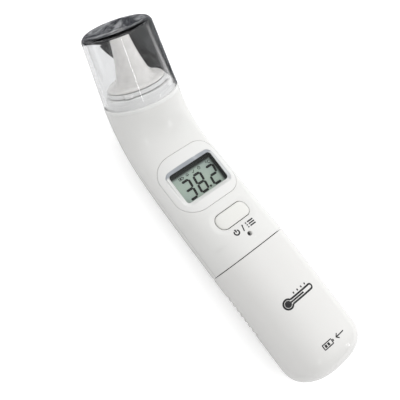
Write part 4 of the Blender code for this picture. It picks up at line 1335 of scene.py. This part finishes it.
def dress_nodes():
    for name, look in NODE_LOOKS.items():
        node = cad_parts[name]
        node.data.materials.clear()
        node.data.materials.append(LOOKS[look])
        if name in SOFTENED:
            bevel = node.modifiers.new("softened_edges", "BEVEL")
            bevel.width = SOFTENED[name] * MM
            bevel.segments = 3
            bevel.limit_method = "ANGLE"
            bevel.angle_limit = radians(40)


# Stage

CAMERA_TARGET = Vector((-2.13, 3.56, 12.51)) * MM
CAMERA_TURN = radians(23.19)
CAMERA_RISE = radians(-6.42)
CAMERA_ROLL = radians(37.12)
CAMERA_DISTANCE = 216.2 * MM
CAMERA_LENS = 47.42


def make_camera():
    back = Vector((-sin(CAMERA_TURN) * cos(CAMERA_RISE), sin(CAMERA_RISE),
                   cos(CAMERA_TURN) * cos(CAMERA_RISE)))
    upright = (Vector((0, 1, 0)) - back * back.y).normalized()
    level = upright.cross(back)
    right = cos(CAMERA_ROLL) * level - sin(CAMERA_ROLL) * upright
    up = sin(CAMERA_ROLL) * level + cos(CAMERA_ROLL) * upright
    data = bpy.data.cameras.new("studio_camera")
    data.sensor_width = 36.0
    data.lens = CAMERA_LENS
    data.clip_start = 0.01
    camera = bpy.data.objects.new("studio_camera", data)
    bpy.context.scene.collection.objects.link(camera)
    turn = Matrix((right, up, back)).transposed().to_4x4()
    camera.matrix_world = Matrix.Translation(CAMERA_TARGET + back * CAMERA_DISTANCE) @ turn
    bpy.context.scene.camera = camera


def make_strip_lights():
    """Two small strips that only the gloss shows, as short streaks on the neck."""
    for name, place, aim in (
        ("right_strip", (242.0, -386.0, 156.0), (1.9, 33.5, 25.9)),
        ("left_strip", (-195.0, -317.0, 329.0), (-9.7, 33.2, 23.7))
    ):
        data = bpy.data.lights.new(name, "AREA")
        data.shape = "RECTANGLE"
        data.size, data.size_y = 0.012, 0.15
        data.energy = 0.045
        light = bpy.data.objects.new(name, data)
        bpy.context.scene.collection.objects.link(light)
        light.location = Vector(place) * MM
        light.rotation_mode = "QUATERNION"
        light.rotation_quaternion = (Vector(aim) - Vector(place)).to_track_quat("-Z", "Y")
        light.visible_diffuse = False
        light.visible_camera = False


def card_material():
    """Dark blue-grey card with paler streaks, which shines by itself."""
    made = bpy.data.materials.new("dark_card")
    made.use_nodes = True
    tree = made.node_tree
    tree.nodes.remove(tree.nodes["Principled BSDF"])
    shine = tree.nodes.new("ShaderNodeEmission")
    streak = noise_node(tree, object_place(tree), 75.0, 5.0, 0.65, 1.2)
    tone = mix_colour(tree, ramp_node(tree, streak, 0.40, 0.66), (0.07, 0.075, 0.09, 1.0),
                      (0.85, 0.87, 0.9, 1.0))
    tree.links.new(tone, shine.inputs["Color"])
    path = tree.nodes.new("ShaderNodeLightPath")
    dimmed = ramp_node(tree, path.outputs["Is Transmission Ray"], 0.0, 1.0, 1.2, 0.045)
    tree.links.new(dimmed, shine.inputs["Strength"])
    tree.links.new(shine.outputs[0], tree.nodes["Material Output"].inputs["Surface"])
    return made


def stage_sheet(name, corners, look):
    data = bpy.data.meshes.new(name)
    data.from_pydata([Vector(c) for c in corners], [], [tuple(range(len(corners)))])
    data.materials.append(look)
    sheet = bpy.data.objects.new(name, data)
    bpy.context.scene.collection.objects.link(sheet)
    return sheet


def toward(tree, direction):
    """How far each way of looking at the surroundings agrees with one direction, from -1 to 1."""
    way = tree.nodes.new("ShaderNodeTexCoord").outputs["Generated"]
    product = tree.nodes.new("ShaderNodeVectorMath")
    product.operation = "DOT_PRODUCT"
    product.inputs[1].default_value = Vector(direction).normalized()
    tree.links.new(way, product.inputs[0])
    return product.outputs["Value"]


def make_surroundings():
    """Soft studio light from the upper right, and a darker room for the gloss and the cap."""
    world = bpy.data.worlds.new("studio")
    bpy.context.scene.world = world
    world.use_nodes = True
    tree = world.node_tree
    soft = tree.nodes["Background"]
    soft.inputs["Color"].default_value = (1.0, 1.0, 1.0, 1.0)
    graded = ramp_node(tree, toward(tree, (0.8, 0.15, 0.55)), -0.9, 0.95, 0.36, 1.42)
    room = tree.nodes.new("ShaderNodeBackground")
    room.inputs["Color"].default_value = (0.97, 0.96, 0.95, 1.0)
    path = tree.nodes.new("ShaderNodeLightPath")
    tree.links.new(math_node(tree, "MAXIMUM", graded, path.outputs["Is Camera Ray"]),
                   soft.inputs["Strength"])
    overhead = ramp_node(tree, toward(tree, (-0.2, -0.1, 1.0)), 0.35, 0.95, 0.0, 0.45)
    through = ramp_node(tree, path.outputs["Is Transmission Ray"], 0.0, 1.0, 1.0, 0.6)
    above = math_node(tree, "MULTIPLY", overhead, through)
    beside = ramp_node(tree, toward(tree, (-0.9, -0.45, -0.1)), 0.0, 0.8, 0.03, 0.55)
    tree.links.new(math_node(tree, "MAXIMUM", above, beside), room.inputs["Strength"])
    mix = tree.nodes.new("ShaderNodeMixShader")
    shown = math_node(tree, "MAXIMUM", path.outputs["Is Transmission Ray"], path.outputs["Is Glossy Ray"])
    tree.links.new(shown, mix.inputs[0])
    tree.links.new(soft.outputs[0], mix.inputs[1])
    tree.links.new(room.outputs[0], mix.inputs[2])
    tree.links.new(mix.outputs[0], tree.nodes["World Output"].inputs["Surface"])


DARK_CARD = ((4.9, 94.0), (7.7, 86.9), (11.0, 80.0), (16.0, 75.5), (22.6, 72.6), (27.5, 67.0), (29.4, 61.7),
             (34.0, 50.0), (500.0, 50.0), (500.0, 900.0), (-300.0, 900.0), (-80.0, 102.0))


def make_stage():
    """Pale floor, and a dark card on it that shows only through the clear cap and in gloss."""
    floor_look, tree, shader = new_material("pale_floor")
    tone = use_group(tree, TONE, Colour=(0.80, 0.80, 0.80, 1.0), Shade=(0.78, 0.78, 0.78, 1.0),
                     Roughness=0.8)
    tree.links.new(tone.outputs["Colour"], shader.inputs["Base Color"])
    tree.links.new(tone.outputs["Roughness"], shader.inputs["Roughness"])
    shader.inputs["Specular IOR Level"].default_value = 0.1
    shader.inputs["Emission Color"].default_value = (1, 1, 1, 1)
    path = tree.nodes.new("ShaderNodeLightPath")
    tree.links.new(math_node(tree, "MULTIPLY", path.outputs["Is Camera Ray"], 0.42),
                   shader.inputs["Emission Strength"])
    reach = 3.0
    stage_sheet("floor", ((-reach, -reach, 0), (reach, -reach, 0), (reach, reach, 0), (-reach, reach, 0)),
                floor_look)
    card_look = card_material()
    card = stage_sheet("dark_card", [(x * MM, y * MM, 0.5 * MM) for x, y in DARK_CARD], card_look)
    card.visible_camera = False
    card.visible_diffuse = False
    card.visible_shadow = False
    make_surroundings()
    make_strip_lights()
    bpy.context.scene.view_settings.view_transform = "Standard"


make_camera()
make_stage()
make_front_shell()
make_rear_shell()
make_battery_cover()
make_panel()
make_display()
make_mode_button()
make_start_button()
make_signs()
make_collar()
make_nose()
make_film()
make_snap_ring()
make_cap()
make_cells()
dress_nodes()
